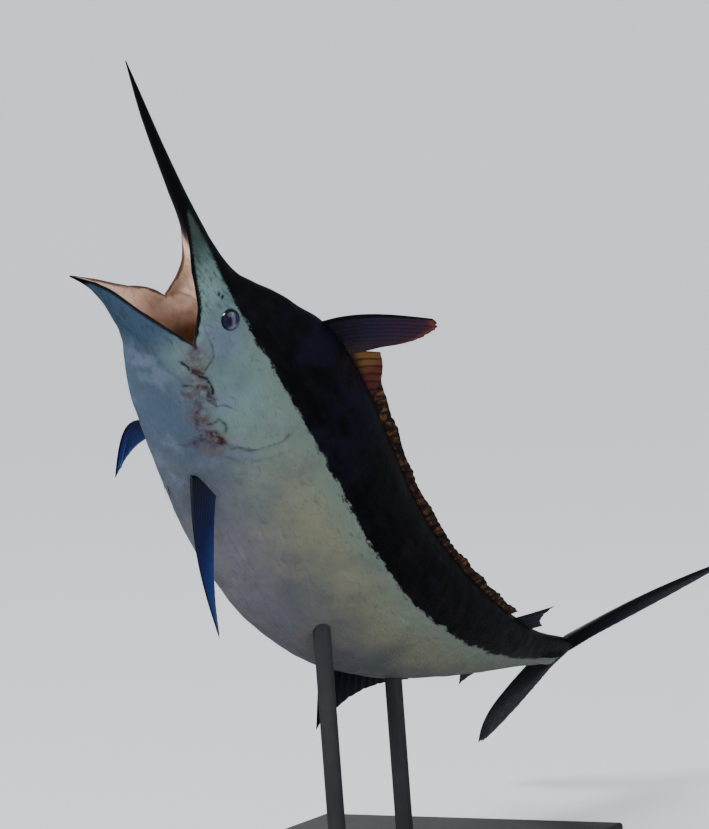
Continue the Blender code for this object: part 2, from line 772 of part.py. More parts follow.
def make_stand(stand, helpers, finish, bodies):
    """Make the flat base and the two rods that reach up to the body."""
    bpy.ops.mesh.primitive_cube_add(size=1.0)
    base = take_active("stand_base", stand)
    base.data.transform(Matrix.Diagonal((*BASE_SIZE, 1.0)))
    base.location = (0.0, 0.0, BASE_SIZE[2] / 2)
    edge = base.modifiers.new("edge", "BEVEL")
    edge.width = BASE_BEVEL
    edge.segments = 3
    base.data.materials.append(finish)
    bottom = BASE_SIZE[2] + GAP
    shoulder = bottom + ROD_FOOT_HEIGHT
    for name, place in ROD_PLACES.items():
        profile = [(0.0, bottom), (ROD_FOOT_RADIUS, bottom), (ROD_FOOT_RADIUS, shoulder),
                   (ROD_RADIUS, shoulder + ROD_FOOT_SLOPE), (ROD_RADIUS, place[2]), (0.0, place[2])]
        rod = turned(name, profile, 24, stand, finish)
        rod.data.transform(Matrix.Translation((place[0], place[1], 0.0)))
        cutters = [swollen(body, GAP, helpers) for body in bodies]
        combine(rod, cutters, "DIFFERENCE")


def main():
    """Build the fish and its stand."""
    for old in list(bpy.data.objects):
        bpy.data.objects.remove(old)
    scene = bpy.context.scene.collection
    fish = bpy.data.collections.new(COLLECTION)
    helpers = bpy.data.collections.new("cutters")
    scene.children.link(fish)
    scene.children.link(helpers)

    dark = material("back_skin", (0.012, 0.014, 0.030), 0.30)
    pale = material("flank_skin", (0.150, 0.215, 0.215), 0.32)
    bill_skin = material("bill_skin", (0.010, 0.008, 0.009), 0.35)
    fin_skin = material("fin_skin", (0.020, 0.020, 0.045), 0.40)
    tail_skin = material("tail_skin", (0.025, 0.025, 0.040), 0.42)
    eye_glaze = material("eye_glaze", (0.030, 0.045, 0.090), 0.06)
    painted = material("stand_paint", (0.030, 0.030, 0.033), 0.45, 0.2)

    loft("bill", rings_of(upper_jaw_section, spread(BILL_TIP, BILL_ROOT - GAP, 15)), fish, bill_skin)
    head = make_head(fish, helpers, pale)
    loft("lower_jaw", rings_of(lower_jaw_section, spread(JAW_TIP, JAW_END, 17)), fish, pale)
    stations = spread(HEAD_END + GAP, TORSO_PARTING, 13)
    front = loft("torso_front", rings_of(body_section, stations), fish, pale)
    stations = spread(TORSO_PARTING + GAP, TAIL_START, 15)
    rear = loft("torso_rear", rings_of(body_section, stations), fish, dark)
    stations = spread(TAIL_START + GAP, TAIL_END, 8)
    tail = loft("tail_stock", rings_of(body_section, stations), fish, tail_skin)
    add_keels(tail, helpers)

    for name, side in (("left", 1), ("right", -1)):
        centre, _ = on_head(side, EYE_AFT, EYE_UP, EYE_PROUD - EYE_RADIUS)
        sphere(f"eye_{name}", centre, EYE_RADIUS, 16, fish, eye_glaze)
        make_gill_cover(f"gill_cover_{name}", side, fish, helpers, pale, [head, front])
        make_side_fin(f"pectoral_fin_{name}", name, fish, helpers, fin_skin, [front])
        make_pelvic_fin(f"pelvic_fin_{name}", side, fish, helpers, fin_skin, [front])
    lobe = spread(0.30, LOBE_END, 10)
    first_dorsal("first_dorsal_lobe", lobe, 7, lobe_tip_aft, lobe_tip_rise, LOBE_BOW, fish, helpers,
                 fin_skin, [head, front])
    run = spread(RUN_START, 0.74, 7)[:-1] + spread(0.74, 2.20, 19)
    first_dorsal("first_dorsal_run", run, 3, run_tip_aft, run_tip_rise, RUN_BOW, fish, helpers,
                 fin_skin, [front, rear])
    outline = falcate(2.25, 2.42, 7, 0.17, 0.105, 0.022, 0.085)
    median_fin("second_dorsal_fin", outline, fish, helpers, tail_skin, [rear, tail], 0.008, 4, False)
    outline = falcate(1.60, 2.02, 12, 0.30, 0.270, 0.045, 0.060)
    median_fin("first_anal_fin", outline, fish, helpers, fin_skin, [rear], 0.011, 6, True)
    outline = falcate(2.28, 2.44, 7, 0.17, 0.105, 0.022, 0.085)
    median_fin("second_anal_fin", outline, fish, helpers, tail_skin, [rear, tail], 0.008, 4, True)
    make_tail_lobe("caudal_fin_upper", 1, fish, helpers, tail_skin, [tail])
    make_tail_lobe("caudal_fin_lower", -1, fish, helpers, tail_skin, [tail])

    pose = bpy.data.objects.new("fish_pose", None)
    scene.objects.link(pose)
    forward = Vector((0.0, -math.cos(POSE_PITCH), math.sin(POSE_PITCH)))
    level_left = Vector((1.0, 0.0, 0.0))
    level_back = forward.cross(level_left)
    left = level_left * math.cos(POSE_BANK) - level_back * math.sin(POSE_BANK)
    back = forward.cross(left)
    turn = Matrix((forward, left, back)).transposed()
    pose.matrix_world = Matrix.Translation(POSE_LOCATION) @ turn.to_4x4()
    for piece in fish.objects:
        piece.parent = pose
        if not piece.name.startswith("eye"):
            piece.data.shade_smooth()
            piece.data.set_sharp_from_angle(angle=math.radians(50))
    bpy.context.view_layer.update()
    make_stand(fish, helpers, painted, [front, rear])
    bpy.data.collections.remove(helpers)


main()
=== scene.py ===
"""A life-size black marlin leaping from a plain display stand, with its finished surfaces.

The fish is modelled straight, in its own frame: aft is the distance behind the
corners of the mouth, left the distance to its left and up the distance toward
its back. The spine then bends it and the pose lifts it over the stand. Lengths
are in metres.
"""

import logging
import math
from dataclasses import dataclass, field
from enum import Enum

import bmesh
import bpy
import numpy as np
from mathutils import Matrix, Vector


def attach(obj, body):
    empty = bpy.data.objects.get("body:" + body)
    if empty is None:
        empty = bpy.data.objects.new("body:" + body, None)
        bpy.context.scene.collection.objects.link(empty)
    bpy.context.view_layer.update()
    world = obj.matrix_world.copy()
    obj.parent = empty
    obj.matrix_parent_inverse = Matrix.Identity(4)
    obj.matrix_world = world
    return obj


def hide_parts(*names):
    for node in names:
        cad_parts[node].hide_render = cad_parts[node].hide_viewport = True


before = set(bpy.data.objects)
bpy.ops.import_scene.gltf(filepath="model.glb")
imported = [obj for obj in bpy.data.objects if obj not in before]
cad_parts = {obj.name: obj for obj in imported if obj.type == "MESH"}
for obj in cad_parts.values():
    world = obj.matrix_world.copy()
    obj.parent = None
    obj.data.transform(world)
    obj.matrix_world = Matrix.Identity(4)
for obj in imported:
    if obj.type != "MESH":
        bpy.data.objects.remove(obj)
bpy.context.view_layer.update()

LOG = logging.getLogger("marlin")
IMAGE_WIDTH = 709
IMAGE_HEIGHT = 829
ROOT_BODY = "root"

WET_SPECULAR = 0.22
FIN_COAT = {"Coat_Weight": 0.06, "Coat_Roughness": 0.2}
WELD_GAP = 2e-5
RIPPLE_WAVES = 24

Pair = tuple[float, float]
Triple = tuple[float, float, float]
Colour = Triple
Array = np.ndarray
Mesh = bpy.types.Mesh
Material = bpy.types.Material
Piece = bpy.types.Object
Socket = bpy.types.NodeSocket


class Side(Enum):
    """A side of the fish, with the sign of its distance to the left."""

    LEFT = 1.0
    RIGHT = -1.0

    def mirror(self) -> Array:
        """Return what turns a left point into this side's."""
        return np.array([1.0, self.value, 1.0])


class Slot(Enum):
    """Names of the record's material slots for the kinds of shown piece."""

    FLANK = "flank_skin"
    FIN = "fin_skin"
    EYE = "eye_glaze"
    PAINT = "stand_paint"


def linear(red: int, green: int, blue: int) -> Colour:
    """Turn a display colour of 0 to 255 a channel into a shader's linear one.

    Args:
        red: Display red.
        green: Display green.
        blue: Display blue.

    Returns:
        The three linear values.
    """
    shares = [value / 255.0 for value in (red, green, blue)]
    return tuple(s / 12.92 if s <= 0.04045 else ((s + 0.055) / 1.055) ** 2.4 for s in shares)


def step_between(low: float, high: float, values: Array) -> Array:
    """Ease from 0 at low to 1 at high.

    Args:
        low: Where the rise starts.
        high: Where it ends; it may be less than low for a fall.
        values: The values to ease.

    Returns:
        The eased shares.
    """
    share = np.clip((values - low) / (high - low), 0.0, 1.0)
    return share * share * (3 - 2 * share)


class Curve:
    """A smooth function through (distance, value) points, with no overshoot."""

    def __init__(self, *points: Pair) -> None:
        """Fit the curve's tangents.

        Args:
            points: Distances with their values, in rising order.
        """
        self.x, self.y = np.array(points, dtype=float).T
        slopes = np.diff(self.y) / np.diff(self.x)
        before, after = slopes[:-1], slopes[1:]
        same_way = before * after > 0
        total = np.where(same_way, before + after, 1.0)
        inner = np.where(same_way, 2 * before * after / total, 0.0)
        self.tangents = np.concatenate([slopes[:1], inner, slopes[-1:]])

    def __call__(self, distance: Array | float) -> Array:
        """Read the curve.

        Args:
            distance: Where to read it.

        Returns:
            The value there, held constant beyond the ends.
        """
        i = np.clip(np.searchsorted(self.x, distance, side="right") - 1, 0, len(self.x) - 2)
        width = self.x[i + 1] - self.x[i]
        t = np.clip((distance - self.x[i]) / width, 0.0, 1.0)
        rise = self.y[i] * (1 + 2 * t) * (1 - t) ** 2 + self.y[i + 1] * t * t * (3 - 2 * t)
        lean = self.tangents[i] * t * (1 - t) ** 2 - self.tangents[i + 1] * t * t * (1 - t)
        return rise + lean * width


class Trace:
    """A smooth line on the fish's side, through (aft, up) points."""

    def __init__(self, *points: Pair) -> None:
        """Sample the line finely.

        Args:
            points: The places that the line runs through, from end to end.
        """
        afts, ups = np.array(points, dtype=float).T
        keys = np.arange(len(points), dtype=float)
        fine = np.linspace(0.0, len(points) - 1.0, 8 * len(points))
        self.line = np.stack([Curve(*zip(keys, afts))(fine), Curve(*zip(keys, ups))(fine)], axis=1)

    def distance(self, aft: Array, up: Array) -> Array:
        """Measure how far places lie from the line.

        Args:
            aft: The places' distances aft.
            up: Their heights.

        Returns:
            The distance of each.
        """
        here = np.stack([aft, up], axis=-1)
        nearest = np.full(aft.shape, np.inf)
        for start, end in zip(self.line[:-1], self.line[1:]):
            along = end - start
            share = np.clip(((here - start) @ along) / max(along @ along, 1e-12), 0.0, 1.0)
            gap = here - start - share[..., None] * along
            nearest = np.minimum(nearest, np.hypot(gap[..., 0], gap[..., 1]))
        return nearest


@dataclass(frozen=True)
class Pose:
    """How the whole fish is held, and how its spine bends."""

    pitch: float = math.radians(50.3)
    bank: float = math.radians(47.7)
    place: Triple = (0.04, -0.72, 2.14)
    side_window: Pair = (0.95, 2.80)
    up_window: Pair = (0.80, 2.05)
    bend_side: float = math.radians(34.0)
    bend_up: float = math.radians(24.0)
    reach: float = 3.6
    step: float = 0.01

    def axes(self) -> tuple[Array, Array, Array]:
        """Return the fish's forward, left and back directions in the world."""
        forward = np.array([0.0, -math.cos(self.pitch), math.sin(self.pitch)])
        level_left = np.array([1.0, 0.0, 0.0])
        level_back = np.cross(forward, level_left)
        left = level_left * math.cos(self.bank) - level_back * math.sin(self.bank)
        return forward, left, np.cross(forward, left)

    def turns(self, aft: Array) -> tuple[Array, Array]:
        """Return the spine's sideways and upward turns at distances aft."""
        side = self.bend_side * step_between(*self.side_window, aft)
        return side, self.bend_up * step_between(*self.up_window, aft)

    def spine(self) -> tuple[Array, Array]:
        """Return distances along the spine with its points in the fish's frame."""
        afts = np.arange(0.0, self.reach + self.step, self.step)
        side, rise = self.turns(afts)
        ahead = np.stack([np.cos(side) * np.cos(rise), np.sin(side) * np.cos(rise), -np.sin(rise)], axis=1)
        points = np.zeros_like(ahead)
        points[1:] = -np.cumsum(ahead[:-1], axis=0) * self.step
        return afts, points

    def world(self, points: Array) -> Array:
        """Bend straight points and place them in the world.

        Args:
            points: Rows of (aft, left, up).

        Returns:
            Rows of world coordinates.
        """
        aft, left, up = points.T
        table, centres = self.spine()
        centre = np.stack([np.interp(aft, table, centres[:, k]) for k in range(3)], axis=1)
        centre[:, 0] -= np.minimum(aft, 0.0)
        side, rise = self.turns(aft)
        lifted = up * np.sin(rise)
        offset = [np.cos(side) * lifted - np.sin(side) * left, np.sin(side) * lifted + np.cos(side) * left,
                  up * np.cos(rise)]
        local = centre + np.stack(offset, axis=1)
        forward, leftward, back = self.axes()
        return np.array(self.place) + local[:, :1] * forward + local[:, 1:2] * leftward + local[:, 2:] * back


@dataclass(frozen=True)
class Form:
    """The lines of the straight body, by distance aft."""

    bill_tip: float = -1.03
    tail_end: float = 2.945
    jaw_tip: float = -0.392
    cavity_end: float = 0.32
    lip: float = 0.012
    back: Curve = Curve(
        (-1.03, 0.276), (-0.90, 0.266), (-0.65, 0.246), (-0.40, 0.233), (-0.25, 0.230), (-0.12, 0.240),
        (-0.04, 0.258), (0.02, 0.288), (0.10, 0.336), (0.20, 0.383), (0.30, 0.425), (0.42, 0.450),
        (0.58, 0.457), (0.80, 0.443), (1.10, 0.412), (1.50, 0.364), (1.90, 0.290), (2.30, 0.196),
        (2.60, 0.135), (2.80, 0.118), (2.95, 0.108))
    belly: Curve = Curve(
        (0.00, -0.224), (0.08, -0.250), (0.18, -0.278), (0.30, -0.299), (0.45, -0.321), (0.62, -0.342),
        (0.90, -0.362), (1.20, -0.357), (1.50, -0.318), (1.80, -0.240), (2.10, -0.150), (2.40, -0.082),
        (2.65, -0.053), (2.80, -0.050), (2.95, -0.040))
    width: Curve = Curve(
        (-1.03, 0.003), (-0.98, 0.0095), (-0.80, 0.0185), (-0.50, 0.032), (-0.35, 0.042), (-0.27, 0.048),
        (-0.20, 0.060), (-0.15, 0.086), (-0.09, 0.126), (-0.03, 0.160), (0.00, 0.176), (0.06, 0.181),
        (0.20, 0.190), (0.45, 0.204), (0.80, 0.216), (1.15, 0.212), (1.50, 0.186), (1.90, 0.138),
        (2.30, 0.084), (2.60, 0.048), (2.80, 0.034), (2.89, 0.022), (2.95, 0.006))
    level: Curve = Curve(
        (-1.03, 0.274), (-0.80, 0.242), (-0.50, 0.208), (-0.42, 0.193), (-0.35, 0.174), (-0.28, 0.152),
        (-0.21, 0.129), (-0.15, 0.107), (-0.09, 0.077), (-0.03, 0.026), (0.00, 0.000), (0.20, 0.006),
        (0.50, 0.040), (0.90, 0.050), (1.50, 0.044), (2.10, 0.040), (2.95, 0.034))
    bulge: Curve = Curve(
        (-1.03, 0.002), (-0.80, 0.016), (-0.50, 0.024), (-0.42, 0.018), (-0.35, 0.009), (-0.29, 0.000),
        (-0.20, -0.020), (-0.10, -0.052), (0.00, -0.090))
    upper_fullness: Curve = Curve(
        (-1.03, 2.0), (-0.30, 2.0), (-0.05, 1.55), (0.10, 1.6), (0.45, 1.9), (2.95, 2.0))
    lower_fullness: Curve = Curve((0.00, 1.65), (0.30, 1.75), (0.80, 1.95), (2.95, 2.0))
    rim_width: Curve = Curve(
        (-0.392, 0.003), (-0.345, 0.013), (-0.275, 0.036), (-0.18, 0.093), (-0.085, 0.152), (0.00, 0.176))
    rim: Curve = Curve(
        (-0.392, -0.243), (-0.345, -0.203), (-0.275, -0.153), (-0.18, -0.102), (-0.085, -0.044), (0.00, 0.0))
    keel: Curve = Curve(
        (-0.392, -0.250), (-0.345, -0.226), (-0.29, -0.207), (-0.20, -0.196), (-0.12, -0.196),
        (-0.05, -0.206), (0.00, -0.224))
    floor_drop: Curve = Curve(
        (-0.392, 0.0015), (-0.345, 0.006), (-0.275, 0.024), (-0.18, 0.056), (-0.085, 0.082), (0.00, 0.100))
    cavity_width: Curve = Curve((0.00, 0.164), (0.10, 0.120), (0.22, 0.070), (0.32, 0.030))
    cavity_top: Curve = Curve((0.00, 0.090), (0.12, 0.070), (0.32, 0.020))
    cavity_bottom: Curve = Curve((0.00, 0.100), (0.12, 0.092), (0.32, 0.040))
    dark_line: Curve = Curve(
        (-0.45, 0.215), (-0.35, 0.212), (-0.25, 0.210), (-0.10, 0.198), (-0.02, 0.191), (0.10, 0.192),
        (0.50, 0.195), (1.00, 0.190), (1.20, 0.179), (1.40, 0.163), (1.58, 0.151), (1.66, 0.147),
        (2.00, 0.105), (2.30, 0.075), (2.60, 0.050), (2.93, 0.038))
    lip_band: Curve = Curve((-0.46, 0.030), (-0.45, 0.018), (-0.30, 0.013), (-0.15, 0.009), (-0.05, 0.006),
                            (0.00, 0.005))
    raggedness: Curve = Curve((-0.40, 0.0015), (-0.15, 0.003), (-0.03, 0.007), (0.10, 0.011), (0.40, 0.018),
                              (0.80, 0.020), (2.90, 0.014))

    def skin_left(self, aft: Array, up: Array) -> Array:
        """Return how far left the skin lies at distances aft and heights."""
        level, back, belly = self.level(aft), self.back(aft), self.belly(aft)
        above = up >= level
        share = np.where(above, (up - level) / (back - level), (level - up) / (level - belly))
        power = np.where(above, self.upper_fullness(aft), self.lower_fullness(aft))
        return self.width(aft) * np.maximum(1.0 - np.clip(share, 0.0, 1.0) ** power, 0.0) ** (1.0 / power)

    def on_skin(self, aft: Array, up: Array, lift: Array) -> Array:
        """Place points over the left skin.

        Args:
            aft: Distances aft.
            up: Heights.
            lift: How far each point stands off the skin.

        Returns:
            Rows of (aft, left, up).
        """
        small = 0.004
        rise = (self.skin_left(aft, up + small) - self.skin_left(aft, up - small)) / (2 * small)
        run = (self.skin_left(aft + small, up) - self.skin_left(aft - small, up)) / (2 * small)
        normal = np.stack([-run, np.ones_like(run), -rise], axis=-1)
        normal /= np.linalg.norm(normal, axis=-1, keepdims=True)
        base = np.stack([aft, self.skin_left(aft, up), up], axis=-1)
        return base + normal * lift[..., None]


FORM = Form()
POSE = Pose()
NOSTRILS = ((-0.085, 0.163), (-0.069, 0.168))
NOSTRIL_SHADE_BREADTH = 0.006
MARK_STRAY = 0.005
MARK_STRAY_SIZE = 0.05
MIDDLE_STRIP = 0.02


class Sheet:
    """Grids of straight points with named values, welded into one mesh."""

    def __init__(self) -> None:
        """Start with no points."""
        self.points: list[Array] = []
        self.faces: list[Array] = []
        self.values: dict[str, list[Array]] = {}
        self.count = 0

    def add(self, grid: Array, **values: Array | float) -> None:
        """Add a grid of points.

        Args:
            grid: Rows by columns by (aft, left, up).
            values: Named values, one for each point or one for all.
        """
        rows, columns = grid.shape[:2]
        corner = self.count + np.arange(rows - 1)[:, None] * columns + np.arange(columns - 1)[None, :]
        faces = np.stack([corner, corner + 1, corner + columns + 1, corner + columns], axis=-1)
        self.points.append(grid.reshape(-1, 3))
        self.faces.append(faces.reshape(-1, 4))
        for name, value in values.items():
            spread = np.broadcast_to(np.asarray(value, dtype=float), (rows, columns))
            self.values.setdefault(name, []).append(spread.reshape(-1))
        self.count += rows * columns

    def add_both(self, grid: Array, **values: Array | float) -> None:
        """Add a grid and its mirror image on the right."""
        self.add(grid, **values)
        self.add(grid * Side.RIGHT.mirror(), **values)

    def weld(self, name: str) -> Mesh:
        """Join the grids where they meet.

        Args:
            name: The mesh's name.

        Returns:
            The welded mesh, still straight, with its faces turned out.
        """
        mesh = bpy.data.meshes.new(name)
        mesh.from_pydata(np.concatenate(self.points).tolist(), [], np.concatenate(self.faces).tolist())
        for key, parts in self.values.items():
            mesh.attributes.new(key, "FLOAT", "POINT").data.foreach_set("value", np.concatenate(parts))
        shape = bmesh.new()
        shape.from_mesh(mesh)
        bmesh.ops.remove_doubles(shape, verts=shape.verts, dist=WELD_GAP)
        bmesh.ops.recalc_face_normals(shape, faces=shape.faces)
        shape.to_mesh(mesh)
        shape.free()
        return mesh


def read_points(mesh: Mesh) -> Array:
    """Return a mesh's points as rows."""
    flat = np.empty(len(mesh.vertices) * 3)
    mesh.vertices.foreach_get("co", flat)
    return flat.reshape(-1, 3)


def read_normals(mesh: Mesh) -> Array:
    """Return a mesh's point normals as rows."""
    flat = np.empty(len(mesh.vertices) * 3)
    mesh.vertex_normals.foreach_get("vector", flat)
    return flat.reshape(-1, 3)


def write_value(mesh: Mesh, name: str, values: Array) -> None:
    """Store a number or a direction for each point of a mesh.

    Args:
        mesh: The mesh.
        name: The values' name.
        values: One number a point, or one row of three.
    """
    if values.ndim == 2:
        mesh.attributes.new(name, "FLOAT_VECTOR", "POINT").data.foreach_set("vector", values.reshape(-1))
    else:
        mesh.attributes.new(name, "FLOAT", "POINT").data.foreach_set("value", values)


def move_points(mesh: Mesh, straight: Array) -> None:
    """Move a mesh's points to where straight ones lie in the world."""
    mesh.vertices.foreach_set("co", POSE.world(straight).reshape(-1))


def middle_plane(aft: Array, up: Array) -> Array:
    """Return points of the fish's middle plane."""
    return np.stack([aft, np.zeros_like(aft), up], axis=1)


def spun(name: str, profile: list[Pair], steps: int, x: float = 0.0, y: float = 0.0) -> Mesh:
    """Spin an outline about an upright axis.

    Args:
        name: The mesh's name.
        profile: The outline's points as (radius, height).
        steps: How many steps go round.
        x: How far toward +X the axis stands.
        y: How far toward +Y it stands.

    Returns:
        The mesh, in the world.
    """
    shape = bmesh.new()
    outline = [shape.verts.new((radius, 0.0, height)) for radius, height in profile]
    edges = [shape.edges.new(pair) for pair in zip(outline[:-1], outline[1:])]
    bmesh.ops.spin(shape, geom=outline + edges, cent=(0, 0, 0), axis=(0, 0, 1), angle=2 * math.pi,
                   steps=steps, use_merge=True)
    bmesh.ops.remove_doubles(shape, verts=shape.verts, dist=1e-5)
    bmesh.ops.recalc_face_normals(shape, faces=shape.faces)
    bmesh.ops.translate(shape, vec=(x, y, 0.0), verts=shape.verts)
    mesh = bpy.data.meshes.new(name)
    shape.to_mesh(mesh)
    shape.free()
    return mesh


def ripple(points: Array, size: float, seed: int) -> Array:
    """Return a smooth random field of about -1 to 1.

    Args:
        points: Rows of places.
        size: The length of its waves.
        seed: The draw's seed.

    Returns:
        One value a point.
    """
    draw = np.random.default_rng(seed)
    total = np.zeros(len(points))
    for _ in range(RIPPLE_WAVES):
        way = draw.normal(size=3)
        way *= 2 * math.pi / (size * np.linalg.norm(way)) * draw.uniform(0.7, 1.4)
        total += np.sin(points @ way + draw.uniform(0.0, 2 * math.pi))
    return total / math.sqrt(RIPPLE_WAVES / 2) / 1.6


def finish_piece(mesh: Mesh, dress: Material, slot: Slot, *nodes: str) -> Piece:
    """Make a shown piece of a mesh whose points are already in the world.

    Args:
        mesh: The mesh, with the piece's name.
        dress: Its material.
        slot: The record's slot for the piece; not used.
        nodes: The solids that it stands for.

    Returns:
        The piece.
    """
    mesh.shade_smooth()
    mesh.materials.append(dress)
    piece = bpy.data.objects.new(mesh.name, mesh)
    bpy.context.scene.collection.objects.link(piece)
    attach(piece, ROOT_BODY)
    if nodes:
        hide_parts(*nodes)
    LOG.info("%s: %d points", mesh.name, len(mesh.vertices))
    return piece


class Nodes:
    """A short way to write one material's nodes."""

    def __init__(self, name: str) -> None:
        """Start a material with its Principled shader.

        Args:
            name: The material's name.
        """
        self.material = bpy.data.materials.new(name)
        self.material.use_nodes = True
        self.tree = self.material.node_tree
        self.shader = self.tree.nodes["Principled BSDF"]

    def add(self, kind: str, inputs: dict | None = None, **settings: object) -> bpy.types.Node:
        """Add a node.

        Args:
            kind: The node's type without its ShaderNode prefix.
            inputs: Sockets or values by input name or index.
            settings: Its properties.

        Returns:
            The node.
        """
        node = self.tree.nodes.new(f"ShaderNode{kind}")
        for key, value in settings.items():
            setattr(node, key, value)
        for key, value in (inputs or {}).items():
            self.feed(node.inputs[key], value)
        return node

    def feed(self, target: Socket, value: object) -> None:
        """Link a socket to an input, or set the input's value."""
        if isinstance(value, Socket):
            self.tree.links.new(value, target)
        elif isinstance(value, tuple) and len(value) == 3 and target.type == "RGBA":
            target.default_value = (*value, 1.0)
        else:
            target.default_value = value

    def number(self, name: str) -> Socket:
        """Read a point's named number."""
        return self.add("Attribute", attribute_name=name).outputs["Fac"]

    def place(self) -> Socket:
        """Read a point's place in the straight frame."""
        return self.add("Attribute", attribute_name="place").outputs["Vector"]

    def stretch(self, where: Socket, scale: tuple, turn: tuple = (0, 0, 0)) -> Socket:
        """Scale and turn a place."""
        return self.add("Mapping", {"Vector": where, "Scale": scale, "Rotation": turn}).outputs[0]

    def noise(self, where: Socket, scale: float, detail: float = 4.0, rough: float = 0.55,
              warp: float = 0.0) -> Socket:
        """Return fractal noise of 0 to 1 at a place."""
        values = {"Vector": where, "Scale": scale, "Detail": detail, "Roughness": rough, "Distortion": warp}
        return self.add("TexNoise", values).outputs["Fac"]

    def cell_edges(self, where: Socket) -> Socket:
        """Return the distance to the nearest edge of random cells of about one unit."""
        node = self.add("TexVoronoi", {"Vector": where, "Scale": 1.0}, feature="DISTANCE_TO_EDGE")
        return node.outputs["Distance"]

    def math(self, way: str, first: object, second: object = 0.0, third: object = 0.0) -> Socket:
        """Return a sum, product or other function of numbers."""
        return self.add("Math", {0: first, 1: second, 2: third}, operation=way).outputs[0]

    def times(self, first: object, second: object, more: object = None) -> Socket:
        """Return the product of two numbers, plus a third one if there is one."""
        if more is None:
            return self.math("MULTIPLY", first, second)
        return self.math("MULTIPLY_ADD", first, second, more)

    def less(self, first: object, second: object) -> Socket:
        """Return the first number less the second."""
        return self.math("SUBTRACT", first, second)

    def ease(self, value: object, low: float, high: float, start: float = 0.0, end: float = 1.0) -> Socket:
        """Ease from start to end as a number goes from low to high."""
        values = {0: value, 1: low, 2: high, 3: start, 4: end}
        return self.add("MapRange", values, interpolation_type="SMOOTHSTEP").outputs[0]

    def mix(self, share: object, first: object, second: object) -> Socket:
        """Blend two colours."""
        return self.add("Mix", {0: share, 6: first, 7: second}, data_type="RGBA").outputs[2]

    def ramp(self, value: object, *stops: tuple[float, Colour]) -> Socket:
        """Turn a number into a colour along stops of (position, colour)."""
        node = self.add("ValToRGB", {0: value})
        elements = node.color_ramp.elements
        while len(elements) < len(stops):
            elements.new(0.5)
        for element, (position, colour) in zip(elements, stops):
            element.position = position
            element.color = (*colour, 1.0)
        return node.outputs[0]

    def bump(self, height: object, depth: float, normal: Socket | None = None) -> Socket:
        """Raise the surface by a height of 0 to 1 times a depth in metres."""
        node = self.add("Bump", {"Height": height, "Distance": depth, "Strength": 1.0})
        if normal:
            self.feed(node.inputs["Normal"], normal)
        return node.outputs[0]

    def split(self, where: Socket) -> tuple[Socket, ...]:
        """Return a place's three numbers."""
        return tuple(self.add("SeparateXYZ", {0: where}).outputs)

    def set(self, **values: object) -> None:
        """Set the shader's inputs, named with underscores for spaces."""
        for key, value in values.items():
            self.feed(self.shader.inputs[key.replace("_", " ")], value)


class Finish:
    """A procedural material."""

    def lay(self, nodes: Nodes) -> None:
        """Lay out the material's nodes."""
        raise NotImplementedError

    def build(self, name: str) -> Material:
        """Make the material.

        Args:
            name: The material's name.

        Returns:
            The material.
        """
        nodes = Nodes(name)
        self.lay(nodes)
        return nodes.material


